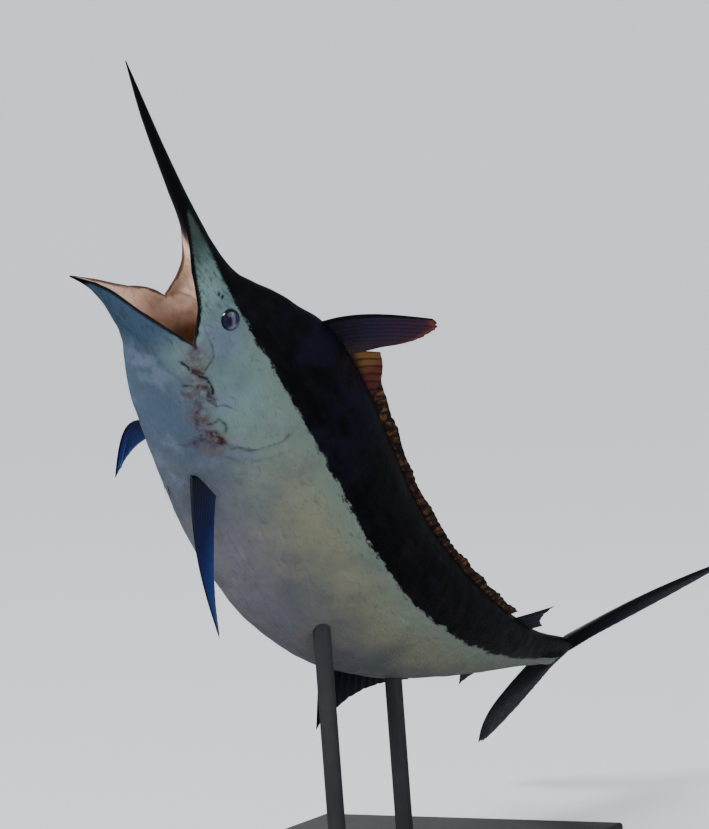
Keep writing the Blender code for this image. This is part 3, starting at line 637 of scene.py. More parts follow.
@dataclass(frozen=True)
class SkinFinish(Finish):
    """Wet skin: near-black back, pale flank, blue-grey belly, dark lips and pink-tan mouth, with painted
    shade in the folds, nostrils and deep mouth, painted highlights on the lining and a painted blue sheen on
    the back.
    """

    back: Colour = linear(1, 1, 3)
    back_sheen: Colour = linear(8, 7, 22)
    back_red: Colour = linear(26, 9, 14)
    # Painted sheen: a blue sheen on the wet back.
    back_blue_sheen: Colour = linear(6, 6, 29)
    cheek: Colour = linear(98, 122, 120)
    flank: Colour = linear(114, 115, 96)
    belly: Colour = linear(66, 83, 102)
    jaw: Colour = linear(46, 66, 86)
    wedge: Colour = linear(36, 50, 40)
    grain: Colour = linear(34, 46, 52)
    breast: Colour = linear(100, 99, 106)
    tan: Colour = linear(124, 108, 96)
    light_streak: Colour = linear(150, 160, 152)
    dark_streak: Colour = linear(58, 70, 80)
    bill: Colour = linear(6, 4, 9)
    lining: Colour = linear(252, 220, 198)
    mid_lining: Colour = linear(238, 188, 160)
    # Painted highlight: paler patches standing in for wet glints on the lining.
    lining_highlight: Colour = linear(253, 228, 204)
    # Painted shade: the lining's colour deep in the mouth and down the throat.
    lining_shade: Colour = linear(82, 50, 32)
    purple: Colour = linear(86, 48, 56)
    lip_edge: Colour = linear(78, 34, 42)
    tooth: Colour = linear(226, 214, 190)
    bruise: Colour = linear(70, 52, 74)
    raw: Colour = linear(84, 48, 46)
    lilac: Colour = linear(98, 108, 130)
    moss: Colour = linear(98, 114, 105)
    # Painted shade in folds and nostrils; it also darkens the middle of the sores.
    crease: Colour = linear(26, 22, 24)
    back_grain: Colour = linear(8, 7, 12)
    edge_softness: float = 0.005
    streak_depth: float = 0.0022
    grain_depth: float = 0.0007
    scale_size: Triple = (26.0, 90.0, 90.0)

    @staticmethod
    def darkness(nodes: Nodes, place: Socket) -> Socket:
        """Return how far each place is past the ragged, speckled edge of the dark back and lips."""
        slant = nodes.stretch(place, (0.30, 1.0, 1.0), (0.0, 0.55, 0.0))
        teeth = nodes.less(nodes.noise(slant, 62.0, 3.0, 0.6), 0.5)
        wander = nodes.less(nodes.noise(place, 7.0, 3.0), 0.5)
        speckle = nodes.less(nodes.noise(place, 190.0, 3.0, 0.7), 0.5)
        shift = nodes.times(wander, 0.8, teeth)
        edge = nodes.times(nodes.times(shift, nodes.number("ragged")), 2.6, nodes.number("dark"))
        return nodes.times(speckle, nodes.number("soft"), edge)

    def pale_skin(self, nodes: Nodes, place: Socket, streak: Socket) -> Socket:
        """Return the colour of the cheek, flank, throat and belly."""
        aft, _, up = nodes.split(place)
        front = nodes.mix(nodes.ease(up, -0.02, -0.17), self.cheek, self.belly)
        rear = nodes.mix(nodes.ease(up, 0.06, -0.26), self.flank, self.breast)
        colour = nodes.mix(nodes.ease(aft, 0.20, 0.90), front, rear)
        broad = nodes.noise(place, 5.0, 5.0)
        colour = nodes.mix(nodes.ease(broad, 0.40, 0.70, 0.0, 0.45), colour, self.dark_streak)
        lilac = nodes.times(nodes.ease(nodes.noise(place, 8.0, 4.0), 0.50, 0.66, 0.0, 0.6),
                            nodes.ease(aft, 0.8, 0.4))
        colour = nodes.mix(lilac, colour, self.lilac)
        near_back = nodes.less(nodes.number("dark"), nodes.ease(broad, 0.3, 0.7, 0.0, 0.05))
        mossy = nodes.times(nodes.ease(near_back, -0.13, -0.02, 0.0, 0.75), nodes.ease(aft, 0.0, 0.12))
        colour = nodes.mix(mossy, colour, self.moss)
        tan = nodes.times(nodes.ease(nodes.noise(place, 9.0, 6.0, 0.65), 0.50, 0.72, 0.0, 0.45),
                          nodes.ease(aft, 0.20, 0.60))
        colour = nodes.mix(tan, colour, self.tan)
        light = nodes.times(nodes.ease(streak, 0.50, 0.80, 0.0, 0.25), nodes.ease(broad, 0.6, 0.35))
        colour = nodes.mix(light, colour, self.light_streak)
        veins = nodes.noise(nodes.stretch(place, (1.0, 2.0, 2.0)), 20.0, 7.0, 0.7, 1.2)
        colour = nodes.mix(nodes.ease(veins, 0.50, 0.74, 0.0, 0.6), colour, self.dark_streak)
        jaw = nodes.times(nodes.ease(aft, 0.02, -0.14), nodes.ease(up, 0.03, -0.02))
        colour = nodes.mix(jaw, colour, self.jaw)
        wedge = nodes.times(nodes.ease(aft, -0.10, -0.30, 0.0, 0.85), nodes.ease(up, 0.0, 0.05))
        colour = nodes.mix(wedge, colour, self.wedge)
        grain = nodes.noise(nodes.stretch(place, (1.0, 6.0, 6.0)), 15.0, 5.0, 0.6, 0.4)
        grain = nodes.times(nodes.ease(grain, 0.48, 0.66, 0.0, 0.6), nodes.ease(aft, 0.06, -0.12))
        return nodes.mix(grain, colour, self.grain)

    def mouth_flesh(self, nodes: Nodes, place: Socket) -> Socket:
        """Return the colour of the mouth's lining, its pale tooth band, painted highlights on the lining and
        painted shade toward its deep corner.
        """
        folds = nodes.noise(nodes.stretch(place, (0.4, 1.0, 1.0)), 42.0, 6.0, 0.6, 0.4)
        colour = nodes.mix(nodes.ease(folds, 0.46, 0.74), self.lining, self.mid_lining)
        # Painted highlights: random paler patches on the lining.
        colour = nodes.mix(nodes.ease(nodes.noise(place, 75.0, 4.0), 0.56, 0.76, 0.0, 0.7), colour,
                           self.lining_highlight)
        # Painted shade: the lining darkens toward the corner of the mouth and down the throat.
        colour = nodes.mix(nodes.number("deep"), colour, self.lining_shade)
        aft, _, up = nodes.split(place)
        far_ahead = nodes.times(nodes.ease(aft, -0.22, -0.33), nodes.ease(up, 0.0, 0.05, 0.25, 1.0))
        colour = nodes.mix(far_ahead, colour, self.purple)
        grains = nodes.ease(nodes.noise(place, 320.0, 2.0), 0.4, 0.6, 0.45, 1.0)
        colour = nodes.mix(nodes.times(nodes.number("teeth"), grains), colour, self.tooth)
        return nodes.mix(nodes.times(nodes.number("lip"), 0.85), colour, self.lip_edge)

    def lay(self, nodes: Nodes) -> None:
        """Lay out the material's nodes."""
        place = nodes.place()
        aft, _, _ = nodes.split(place)
        long_grain = nodes.stretch(place, (1.0, 5.0, 5.0))
        fine = nodes.noise(place, 38.0, 6.0, 0.65)
        streak = nodes.noise(long_grain, 14.0, 6.0, 0.6, 0.3)
        is_dark = nodes.ease(self.darkness(nodes, place), -self.edge_softness, self.edge_softness)

        dark = nodes.mix(nodes.ease(nodes.noise(long_grain, 6.0, 4.0), 0.4, 0.75), self.back, self.back_sheen)
        reddish = nodes.ease(nodes.noise(place, 8.0, 5.0, 0.6), 0.52, 0.72, 0.0, 0.7)
        dark = nodes.mix(nodes.times(reddish, nodes.ease(aft, 0.1, 0.5)), dark, self.back_red)
        # Painted sheen: blue patches over the back behind the head.
        blue = nodes.times(nodes.ease(nodes.noise(place, 6.0, 3.0), 0.46, 0.60), nodes.ease(aft, 0.12, 0.3))
        dark = nodes.mix(nodes.times(blue, nodes.ease(aft, 1.0, 0.6)), dark, self.back_blue_sheen)
        dark = nodes.mix(nodes.ease(aft, -0.25, -0.48), dark, self.bill)
        dark = nodes.mix(nodes.ease(fine, 0.5, 0.9, 0.0, 0.5), dark, self.back_grain)
        outer = nodes.mix(is_dark, self.pale_skin(nodes, place, streak), dark)
        patchy = nodes.noise(place, 40.0, 5.0, 0.7, 0.5)
        bruise = nodes.mix(nodes.ease(nodes.noise(place, 17.0, 4.0), 0.42, 0.58), self.bruise, self.raw)
        sore = nodes.times(nodes.number("sore"), nodes.ease(patchy, 0.34, 0.56, 0.30, 1.0))
        # The middles of the sores darken toward the same near-black as the painted shade.
        outer = nodes.mix(sore, outer, nodes.mix(nodes.ease(sore, 0.45, 0.95, 0.0, 0.6), bruise, self.crease))
        # Painted shade in the folds and nostrils.
        crease = nodes.times(nodes.number("crease"), nodes.ease(patchy, 0.36, 0.56, 0.35, 1.25))
        outer = nodes.mix(crease, outer, self.crease)
        colour = nodes.mix(nodes.number("lining"), outer, self.mouth_flesh(nodes, place))

        scales = nodes.cell_edges(nodes.stretch(place, self.scale_size))
        scale_lines = nodes.times(nodes.ease(scales, 0.16, 0.0), nodes.ease(aft, 0.30, 0.50))
        height = nodes.less(nodes.times(streak, 0.8), nodes.times(scale_lines, 0.3))
        relief = nodes.bump(height, self.streak_depth)
        relief = nodes.bump(nodes.noise(place, 160.0, 4.0, 0.6), self.grain_depth, relief)
        roughness = nodes.ease(nodes.noise(place, 22.0, 4.0), 0.3, 0.8, 0.28, 0.48)
        roughness = nodes.times(is_dark, 0.06, roughness)
        nodes.set(Base_Color=colour, Roughness=roughness, Normal=relief, Specular_IOR_Level=WET_SPECULAR,
                  Coat_Weight=0.08, Coat_Roughness=0.12)


@dataclass
class Body:
    """The fish's one skin, from bill tip to tail stock, with mouth, sockets, nostrils and keels."""

    form: Form
    eye_aft: float = 0.009
    eye_up: float = 0.151
    rim_dark: float = 0.005
    corner_dark: float = 0.006
    bill_dark_start: float = -0.40
    bill_dark_slope: float = 0.35
    jaw_dark_start: float = -0.335
    jaw_dark_slope: float = 0.5
    bill_tip_up: float = 0.276
    jaw_tip_up: float = -0.2475
    palate_arch: float = 0.02
    thinnest_jaw: float = 0.35
    lip_depth: float = 0.55
    jaw_lip_height: float = 0.9
    lip_pink_turns: Pair = (0.45 * math.pi, 0.8 * math.pi)
    jaw_lip_pink_turns: Pair = (0.4 * math.pi, 0.8 * math.pi)
    fully_dark: float = 0.02
    pink_start: Pair = (-0.37, -0.24)
    jaw_pink_start: Pair = (-0.40, -0.35)
    corner_fade: float = 0.04
    # How much painted shade darkens the lining at the mouth's corners.
    corner_shade: float = 0.45
    keel_levels: Pair = (0.020, -0.014)
    keel_start: float = 2.66
    keel_length: float = 0.22
    keel_height: float = 0.016
    keel_spread: float = 0.010
    keel_breadth: float = 0.0055
    nostril_depth: float = 0.007
    nostril_breadth: float = 0.0042
    swells: tuple[Pair, ...] = ((0.0016, 0.22), (0.0006, 0.07))
    folds: Pair = (0.0012, 0.03)
    socket: Curve = Curve((0.0, -0.016), (0.0295, -0.016), (0.0340, -0.006), (0.0375, 0.0018),
                          (0.042, 0.0024), (0.050, 0.0008), (0.062, 0.0))
    sheet: Sheet = field(default_factory=Sheet)
    corner_rows: Array = field(default_factory=lambda: np.linspace(-0.14, 0.0, 48))
    over: Array = field(default_factory=lambda: np.linspace(0.0, 0.5 * math.pi, 110)[None, :])
    under: Array = field(default_factory=lambda: np.linspace(0.0, 0.5 * math.pi, 64)[None, :])
    inside: Array = field(default_factory=lambda: np.linspace(0.0, 0.5 * math.pi, 44)[None, :])
    lip_turns: Array = field(default_factory=lambda: np.linspace(0.0, math.pi, 11)[None, :])

    @staticmethod
    def grid(aft: Array, left: Array, up: Array) -> Array:
        """Join aft, left and up into a grid of points."""
        return np.stack(np.broadcast_arrays(aft, left, up), axis=-1)

    def upper_side(self, aft: Array) -> Array:
        """Return the skin from the top line down to the widest level."""
        form = self.form
        power = 2.0 / form.upper_fullness(aft)
        left = form.width(aft) * np.sin(self.over) ** power
        height = form.back(aft) - form.level(aft)
        return self.grid(aft, left, form.level(aft) + height * np.maximum(np.cos(self.over), 0.0) ** power)

    def lower_side(self, aft: Array, width: Array, top: Array, bottom: Array) -> Array:
        """Return the skin from the widest level or the jaw's rim down to the middle line."""
        power = 2.0 / self.form.lower_fullness(aft)
        left = width * np.maximum(np.cos(self.under), 0.0) ** power
        return self.grid(aft, left, top + (bottom - top) * np.sin(self.under) ** power)

    def cover(self, grid: Array, tip: Triple, first: bool = False, **values: Array | float) -> None:
        """Close a grid onto one point and add it on both sides.

        Args:
            grid: Rows by columns by (aft, left, up), on the left.
            tip: The point that closes it.
            first: Whether the point lies ahead of the first row and not behind the last.
            values: Named values that aren't those of plain dark skin.
        """
        row = np.broadcast_to(np.array(tip), (1, *grid.shape[1:]))
        held = {"lining": 0.0, "deep": 0.0, "dark": self.fully_dark, "teeth": 0.0, "lip": 0.0} | values
        for name, value in held.items():
            if isinstance(value, Array):
                held[name] = np.concatenate([value[:1], value] if first else [value, value[-1:]])
        self.sheet.add_both(np.concatenate([row, grid] if first else [grid, row]), **held)

    def add_lip(self, aft: Array, breadths: tuple[Array, Array], level: Array, bulge: Array, tip: Triple,
                pink: Array) -> None:
        """Add a jaw's rounded lip.

        Args:
            aft: The distances aft.
            breadths: How far left its outer and inner edges lie.
            level: Its edges' height.
            bulge: How far it swells upward, or downward if less than 0.
            tip: The jaw's tip.
            pink: How pink it is, from its outer to its inner edge.
        """
        width, inner = breadths
        left = 0.5 * (width + inner) + 0.5 * (width - inner) * np.cos(self.lip_turns)
        self.cover(self.grid(aft, left, level + bulge * np.sin(self.lip_turns)), tip, True, lining=pink,
                   lip=1.0)

    def add_lining(self, grid: Array, tip: Triple, pink: Array, shade_start: float, lip_fade: Pair) -> None:
        """Add the palate or the floor of the mouth.

        Args:
            grid: Its points, on the left.
            tip: The jaw's tip.
            pink: How pink it is along the jaw.
            shade_start: Where the painted shade starts to darken it toward the corner.
            lip_fade: Between which distances aft the lip's dark red starts to show.
        """
        aft = grid[:, :1, 0]
        # Painted shade toward the corner of the mouth.
        deep = self.corner_shade * step_between(shade_start, 0.0, aft)
        self.cover(grid, tip, True, lining=pink, deep=deep, teeth=self.tooth_band() * np.ones_like(aft),
                   lip=self.lip_shade() * step_between(*lip_fade, aft))

    def tooth_band(self) -> Array:
        """Return where the fine teeth line the mouth, just inside the lips."""
        return step_between(0.0, 0.05, self.inside) * step_between(0.20, 0.12, self.inside)

    def lip_shade(self) -> Array:
        """Return where the dark red of the lips reaches into the mouth."""
        return 0.9 * step_between(0.17, 0.05, self.inside)

    def add_trunk(self) -> None:
        """Add the skin behind the corners of the mouth."""
        form = self.form
        stations = [np.arange(0.0, 0.16, 0.003), np.arange(0.16, 0.56, 0.0045), np.arange(0.56, 2.56, 0.011),
                    np.linspace(2.56, form.tail_end, 90)]
        aft = np.concatenate(stations)[:, None]
        end = (form.tail_end + 0.006, 0.0, 0.5 * float(form.back(2.95) + form.belly(2.95)))
        lower = self.lower_side(aft, form.width(aft), form.level(aft), form.belly(aft))
        for grid in (self.upper_side(aft), lower):
            corner = self.corner_dark - np.hypot(grid[..., 0], grid[..., 2])
            dark = np.maximum(grid[..., 2] - form.dark_line(grid[..., 0]), corner)
            self.cover(grid, end, dark=dark)

    def add_upper_jaw(self) -> None:
        """Add the bill and the upper jaw, with its rounded lip and the palate."""
        form = self.form
        bill_rows = np.linspace(form.bill_tip, -0.46, 70)[:-1]
        jaw_rows = np.linspace(-0.46, self.corner_rows[0], 80)[:-1]
        aft = np.concatenate([bill_rows, jaw_rows, self.corner_rows])[:, None]
        width, level, bulge = form.width(aft), form.level(aft), form.bulge(aft)
        arched = np.clip(-bulge / self.palate_arch, 0.0, 1.0)
        inner = width - form.lip * arched
        tip = (form.bill_tip - 0.005, 0.0, self.bill_tip_up)
        outer = self.upper_side(aft)
        up = outer[..., 2]
        dark = np.maximum(up - form.dark_line(aft), form.lip_band(aft) - (up - level))
        dark = np.maximum(dark, self.bill_dark_slope * (self.bill_dark_start - aft))
        self.cover(outer, tip, True, dark=dark)

        pink = step_between(*self.pink_start, aft)
        lip_pink = pink * step_between(*self.lip_pink_turns, self.lip_turns)
        depth = self.lip_depth * form.lip * arched * np.clip(-aft / self.corner_fade, 0.0, 1.0)
        self.add_lip(aft, (width, inner), level, -depth, tip, lip_pink)
        left = np.where(bulge > 0, width, inner) * np.cos(self.inside)
        palate = self.grid(aft, left, level - bulge * np.sin(self.inside))
        self.add_lining(palate, tip, pink, -0.15, (-0.03, -0.10))

    def add_lower_jaw(self) -> None:
        """Add the lower jaw, with its rounded lip and the floor of the mouth."""
        form = self.form
        jaw_rows = np.linspace(form.jaw_tip, self.corner_rows[0], 84)[:-1]
        aft = np.concatenate([jaw_rows, self.corner_rows])[:, None]
        width, rim, keel = form.rim_width(aft), form.rim(aft), form.keel(aft)
        inner = np.maximum(width - form.lip, self.thinnest_jaw * width)
        tip = (form.jaw_tip - 0.004, 0.0, self.jaw_tip_up)
        outer = self.lower_side(aft, width, rim, keel)
        drop = rim - outer[..., 2]
        dark = np.maximum(self.rim_dark - drop, self.jaw_dark_slope * (self.jaw_dark_start - aft))
        self.cover(outer, tip, True, dark=dark)

        pink = step_between(*self.jaw_pink_start, aft)
        lip_pink = pink * step_between(*self.jaw_lip_pink_turns, self.lip_turns)
        height = self.jaw_lip_height * 0.5 * (width - inner) * np.clip(-aft / self.corner_fade, 0.0, 1.0)
        self.add_lip(aft, (width, inner), rim, height, tip, lip_pink)
        floor = self.grid(aft, inner * np.cos(self.inside), rim - form.floor_drop(aft) * np.sin(self.inside))
        self.add_lining(floor, tip, pink, -0.12, (-0.12, -0.24))

    def add_throat(self) -> None:
        """Add the mouth's cavity behind its corners."""
        form = self.form
        aft = np.linspace(0.0, form.cavity_end, 60)[:, None]
        end = (form.cavity_end + 0.01, 0.0, -0.01)
        left = form.cavity_width(aft) * np.cos(self.inside)
        # Painted shade that deepens to full down the throat.
        deep = self.corner_shade + (1.0 - self.corner_shade) * step_between(0.0, 0.14, aft)
        for height in (form.cavity_top(aft), -form.cavity_bottom(aft)):
            self.cover(self.grid(aft, left, height * np.sin(self.inside)), end, lining=1.0, deep=deep)

    def relief(self, points: Array, lining: Array) -> Array:
        """Return how far each point of the skin is raised.

        Args:
            points: The straight skin's points.
            lining: How far each is inside the mouth.

        Returns:
            The rise of each.
        """
        aft, left, up = points.T
        outside = (1.0 - lining) * (np.abs(left) > MIDDLE_STRIP)
        here, _, rearward, upward = socket_frame(self.eye_aft, self.eye_up)
        offset = points * np.array([1.0, 0.0, 1.0]) + np.abs(left)[:, None] * np.array([0.0, 1.0, 0.0]) - here
        reach = np.hypot(offset @ rearward, offset @ upward)
        rise = self.socket(reach) * (np.abs(left) > 0.08)
        for mark in MARKS:
            rise -= outside * mark.depth * mark.near(aft, up, 0.8)
        for nostril_aft, nostril_up in NOSTRILS:
            gap = np.hypot(aft - nostril_aft, up - nostril_up)
            rise -= outside * self.nostril_depth * np.exp(-(gap / self.nostril_breadth) ** 2)
        along = np.clip((aft - self.keel_start) / self.keel_length, 0.0, 1.0)
        for level in self.keel_levels:
            middle = self.form.level(aft) + level + math.copysign(self.keel_spread, level) * along
            swell = self.keel_height * np.sin(math.pi * along) ** 0.8
            rise += swell * np.exp(-((up - middle) / self.keel_breadth) ** 2) * (np.abs(left) > 0.006)
        calm = np.clip((self.form.width(aft) - 0.01) / 0.1, 0.0, 1.0)
        for (height, size), seed in zip(self.swells, (3, 4)):
            rise += calm * (height * ripple(points, size, seed))
        height, size = self.folds
        return rise + lining * height * ripple(points * np.array([0.5, 1.0, 1.0]), size, 5)

    def build(self, dress: Material) -> Piece:
        """Make the skin.

        Args:
            dress: The skin's material.

        Returns:
            The piece.
        """
        self.add_trunk()
        self.add_upper_jaw()
        self.add_lower_jaw()
        self.add_throat()
        mesh = self.sheet.weld("skin")
        straight = read_points(mesh)
        lining = np.empty(len(straight))
        mesh.attributes["lining"].data.foreach_get("value", lining)
        mark_skin(mesh, straight, 1.0 - lining, self.form)
        raised = straight + read_normals(mesh) * self.relief(straight, lining)[:, None]
        move_points(mesh, raised)
        mesh.update()
        return finish_piece(mesh, dress, Slot.FLANK, "bill", "head", "lower_jaw", "torso_front",
                            "torso_rear", "tail_stock")


@dataclass(frozen=True)
class Mark:
    """A line or smear on the side of the head, with how bruised it is, how much painted shade darkens it and
    how deep it is.
    """

    trace: Trace
    breadth: float
    sore: float = 0.0
    # How much painted shade darkens it.
    crease: float = 0.0
    depth: float = 0.0

    def near(self, aft: Array, up: Array, share: float = 1.0) -> Array:
        """Return how close places are to its middle, from 0 to 1.

        Args:
            aft: The places' distances aft.
            up: Their heights.
            share: How much of its breadth to count.

        Returns:
            The closeness of each.
        """
        close = np.zeros(aft.shape)
        here = (aft < 0.62) & (aft > -0.25)
        close[here] = np.exp(-(self.trace.distance(aft[here], up[here]) / (share * self.breadth)) ** 2)
        return close


MARKS = (
    Mark(Trace((-0.020, 0.058), (0.035, 0.056), (0.067, 0.043), (0.093, 0.010), (0.099, -0.007)), 0.007, 0.0,
         0.45, 0.0026),
    Mark(Trace((-0.150, -0.182), (-0.060, -0.150), (0.035, -0.122), (0.150, -0.090)), 0.012, 0.0, 0.15,
         0.0030),
    Mark(Trace((0.035, -0.069), (0.070, -0.058), (0.104, -0.041), (0.137, -0.021), (0.175, -0.022),
               (0.197, -0.029)), 0.010, 0.55, 1.00, 0.0040),
    Mark(Trace((0.020, -0.015), (0.100, -0.040), (0.170, -0.068), (0.250, -0.095), (0.340, -0.115),
               (0.405, -0.110)), 0.042, 0.70),
    Mark(Trace((0.077, -0.045), (0.109, -0.019)), 0.013, 1.0, 0.10, 0.0015),
    Mark(Trace((0.013, 0.000), (0.052, -0.013), (0.082, -0.020)), 0.011, 0.65, 0.15, 0.0015),
    Mark(Trace((0.161, -0.039), (0.196, -0.045), (0.226, -0.038)), 0.015, 0.95, 0.10, 0.0020),
    Mark(Trace((0.226, -0.045), (0.248, -0.045), (0.264, -0.018), (0.284, 0.001)), 0.007, 0.25, 0.55, 0.0025),
    Mark(Trace((0.128, -0.098), (0.145, -0.079), (0.152, -0.056)), 0.009, 0.20, 0.60, 0.0025),
    Mark(Trace((0.165, -0.108), (0.216, -0.091), (0.245, -0.103)), 0.017, 0.65, 0.20, 0.0020),
    Mark(Trace((0.250, -0.108), (0.289, -0.122), (0.325, -0.138), (0.352, -0.136), (0.376, -0.165)), 0.016,
         0.85, 0.15, 0.0030),
    Mark(Trace((0.315, -0.101), (0.310, -0.059), (0.336, -0.044), (0.365, -0.054)), 0.009, 0.25, 0.60,
         0.0020),
    Mark(Trace((0.346, -0.108), (0.366, -0.084), (0.403, -0.081)), 0.019, 1.0, 0.25, 0.0020),
    Mark(Trace((0.367, -0.228), (0.372, -0.176), (0.369, -0.137)), 0.010, 0.20, 0.30, 0.0015),
    Mark(Trace((0.400, -0.090), (0.445, -0.056), (0.474, -0.022), (0.492, 0.015), (0.505, 0.063),
               (0.506, 0.130)), 0.007, 0.10, 0.45),
    Mark(Trace((0.440, -0.130), (0.500, -0.070), (0.540, 0.000), (0.560, 0.080)), 0.012, 0.10, 0.18, 0.0015),
)


def mark_skin(mesh: Mesh, points: Array, outside: Array, form: Form) -> None:
    """Store what the skin's finish reads at each point.

    Args:
        mesh: The mesh to mark.
        points: Its points in the straight frame.
        outside: How far each lies on the outer skin, from 0 to 1.
        form: The body's lines.
    """
    aft, left, up = points.T
    side = outside * (np.abs(left) > MIDDLE_STRIP)
    nostril = np.min([np.hypot(aft - place[0], up - place[1]) for place in NOSTRILS], axis=0)
    # Painted shade in the nostrils, then along the folds.
    crease = 1.2 * np.exp(-(nostril / NOSTRIL_SHADE_BREADTH) ** 2)
    sore = np.zeros(len(points))
    strayed = (aft + MARK_STRAY * ripple(points, MARK_STRAY_SIZE, 11),
               up + MARK_STRAY * ripple(points, MARK_STRAY_SIZE, 12))
    for mark in MARKS:
        crease = np.maximum(crease, mark.crease * mark.near(*strayed, 0.6))
        sore = np.maximum(sore, mark.sore * mark.near(*strayed))
    write_value(mesh, "place", points)
    write_value(mesh, "crease", crease * side)
    write_value(mesh, "sore", sore * side)
    behind = np.maximum(step_between(0.04, 0.10, up), step_between(0.10, 0.40, aft))
    write_value(mesh, "soft", 0.004 + 0.030 * behind)
    write_value(mesh, "ragged", form.raggedness(aft))


@dataclass
class GillCover:
    """The plate over the gills of one side, flush in front and free behind, with painted shade under its
    curled edge.
    """

    side: Side
    top: float = 0.235
    bottom: float = -0.20
    free_lift: float = 0.0085
    front_sunk: float = 0.0016
    flare: float = 2.2
    thickness: float = 0.003
    open_from: float = -0.11
    open_to: float = 0.15
    # How far painted shade darkens the underside of the curled free edge.
    under_edge_shade: float = 0.04
    front_edge: Curve = Curve((-0.20, 0.245), (-0.05, 0.20), (0.10, 0.20), (0.235, 0.34))
    rear_edge: Curve = Curve((-0.20, 0.30), (-0.13, 0.36), (-0.05, 0.425), (0.01, 0.485), (0.06, 0.509),
                             (0.11, 0.512), (0.17, 0.493), (0.235, 0.44))

    def build(self, dress: Material) -> Piece:
        """Make the plate.

        Args:
            dress: The skin's material.

        Returns:
            The piece.
        """
        across = np.linspace(0.0, 1.0, 90)
        curl = np.linspace(0.0, math.pi, 9)[1:]
        share = np.concatenate([across, np.ones(len(curl))])[None, :]
        turn = np.concatenate([np.zeros(len(across)), curl])[None, :]
        up = np.linspace(self.bottom, self.top, 130)[:, None]
        front, rear = self.front_edge(up), self.rear_edge(up)
        open_here = step_between(self.bottom, self.open_from, up) * step_between(self.top, self.open_to, up)
        lift = -self.front_sunk + (self.free_lift + self.front_sunk) * share ** self.flare * open_here
        half = 0.5 * (lift + self.thickness)
        lift = lift - half * (1.0 - np.cos(turn))
        aft = front + (rear - front) * share + half * np.sin(turn)
        up = up * np.ones_like(aft)
        grid = FORM.on_skin(aft, up, lift) * self.side.mirror()
        sheet = Sheet()
        # Painted shade: the underside of the curled free edge takes the dark back colour.
        under = step_between(0.3 * math.pi, 0.9 * math.pi, turn)
        dark = up - FORM.dark_line(aft) + self.under_edge_shade * under
        sheet.add(grid, lining=0.0, deep=0.0, dark=dark, teeth=0.0, lip=0.0)
        mesh = sheet.weld(f"gill_plate_{self.side.name.lower()}")
        straight = read_points(mesh)
        mark_skin(mesh, straight, np.ones(len(straight)), FORM)
        move_points(mesh, straight)
        return finish_piece(mesh, dress, Slot.FLANK, f"gill_cover_{self.side.name.lower()}")


@dataclass(frozen=True)
class EyeFinish(Finish):
    """A glossy eye with a large dark pupil, in a navy iris, crossed by a soft lavender streak of painted
    reflection.
    """

    # The pupil is tinted lighter than black as a painted reflection on the cornea.
    pupil: Colour = linear(24, 22, 40)
    iris: Colour = linear(30, 33, 64)
    # Paler iris fibres behind, and the colour of the painted reflection streak.
    pale_iris_and_reflection: Colour = linear(106, 100, 126)
    rim: Colour = linear(10, 10, 20)
    pupil_edge: Pair = (0.42, 0.56)
    rim_edge: Pair = (0.74, 0.86)
    reflection_tilt: Pair = (0.5, 0.866)
    reflection_offset: float = 0.16
    reflection_half_width: float = 0.30

    def lay(self, nodes: Nodes) -> None:
        """Lay out the material's nodes."""
        reach = nodes.number("reach")
        place = nodes.place()
        fibres = nodes.noise(nodes.stretch(place, (40.0, 1.5, 1.0)), 1.0, 4.0, 0.6)
        cosine, _, sine = nodes.split(place)
        behind = nodes.ease(nodes.times(cosine, 0.97, nodes.times(sine, -0.25)), 0.55, 1.0)
        pale = nodes.times(behind, nodes.ease(fibres, 0.3, 0.65, 0.35, 1.0))
        colour = nodes.mix(nodes.ease(reach, *self.pupil_edge), self.pupil,
                           nodes.mix(pale, self.iris, self.pale_iris_and_reflection))
        ahead = nodes.ease(nodes.times(cosine, -0.80, nodes.times(sine, -0.60)), 0.1, 0.9)
        colour = nodes.mix(nodes.times(ahead, 0.7), colour, self.rim)
        # Painted reflection: a soft lavender streak across the eye.
        slant = nodes.times(cosine, self.reflection_tilt[0], nodes.times(sine, self.reflection_tilt[1]))
        across = nodes.math("ABSOLUTE", nodes.times(reach, slant, -self.reflection_offset))
        streak = nodes.ease(across, self.reflection_half_width, 0.04, 0.0, 0.75)
        patchy = nodes.ease(fibres, 0.2, 0.7, 0.75, 1.0)
        colour = nodes.mix(nodes.times(streak, patchy), colour, self.pale_iris_and_reflection)
        colour = nodes.mix(nodes.ease(reach, *self.rim_edge), colour, self.rim)
        gloss = nodes.ease(nodes.noise(place, 3.0), 0.3, 0.7, 0.04, 0.09)
        nodes.set(Base_Color=colour, Roughness=gloss, Coat_Weight=0.6, Coat_Roughness=0.03)


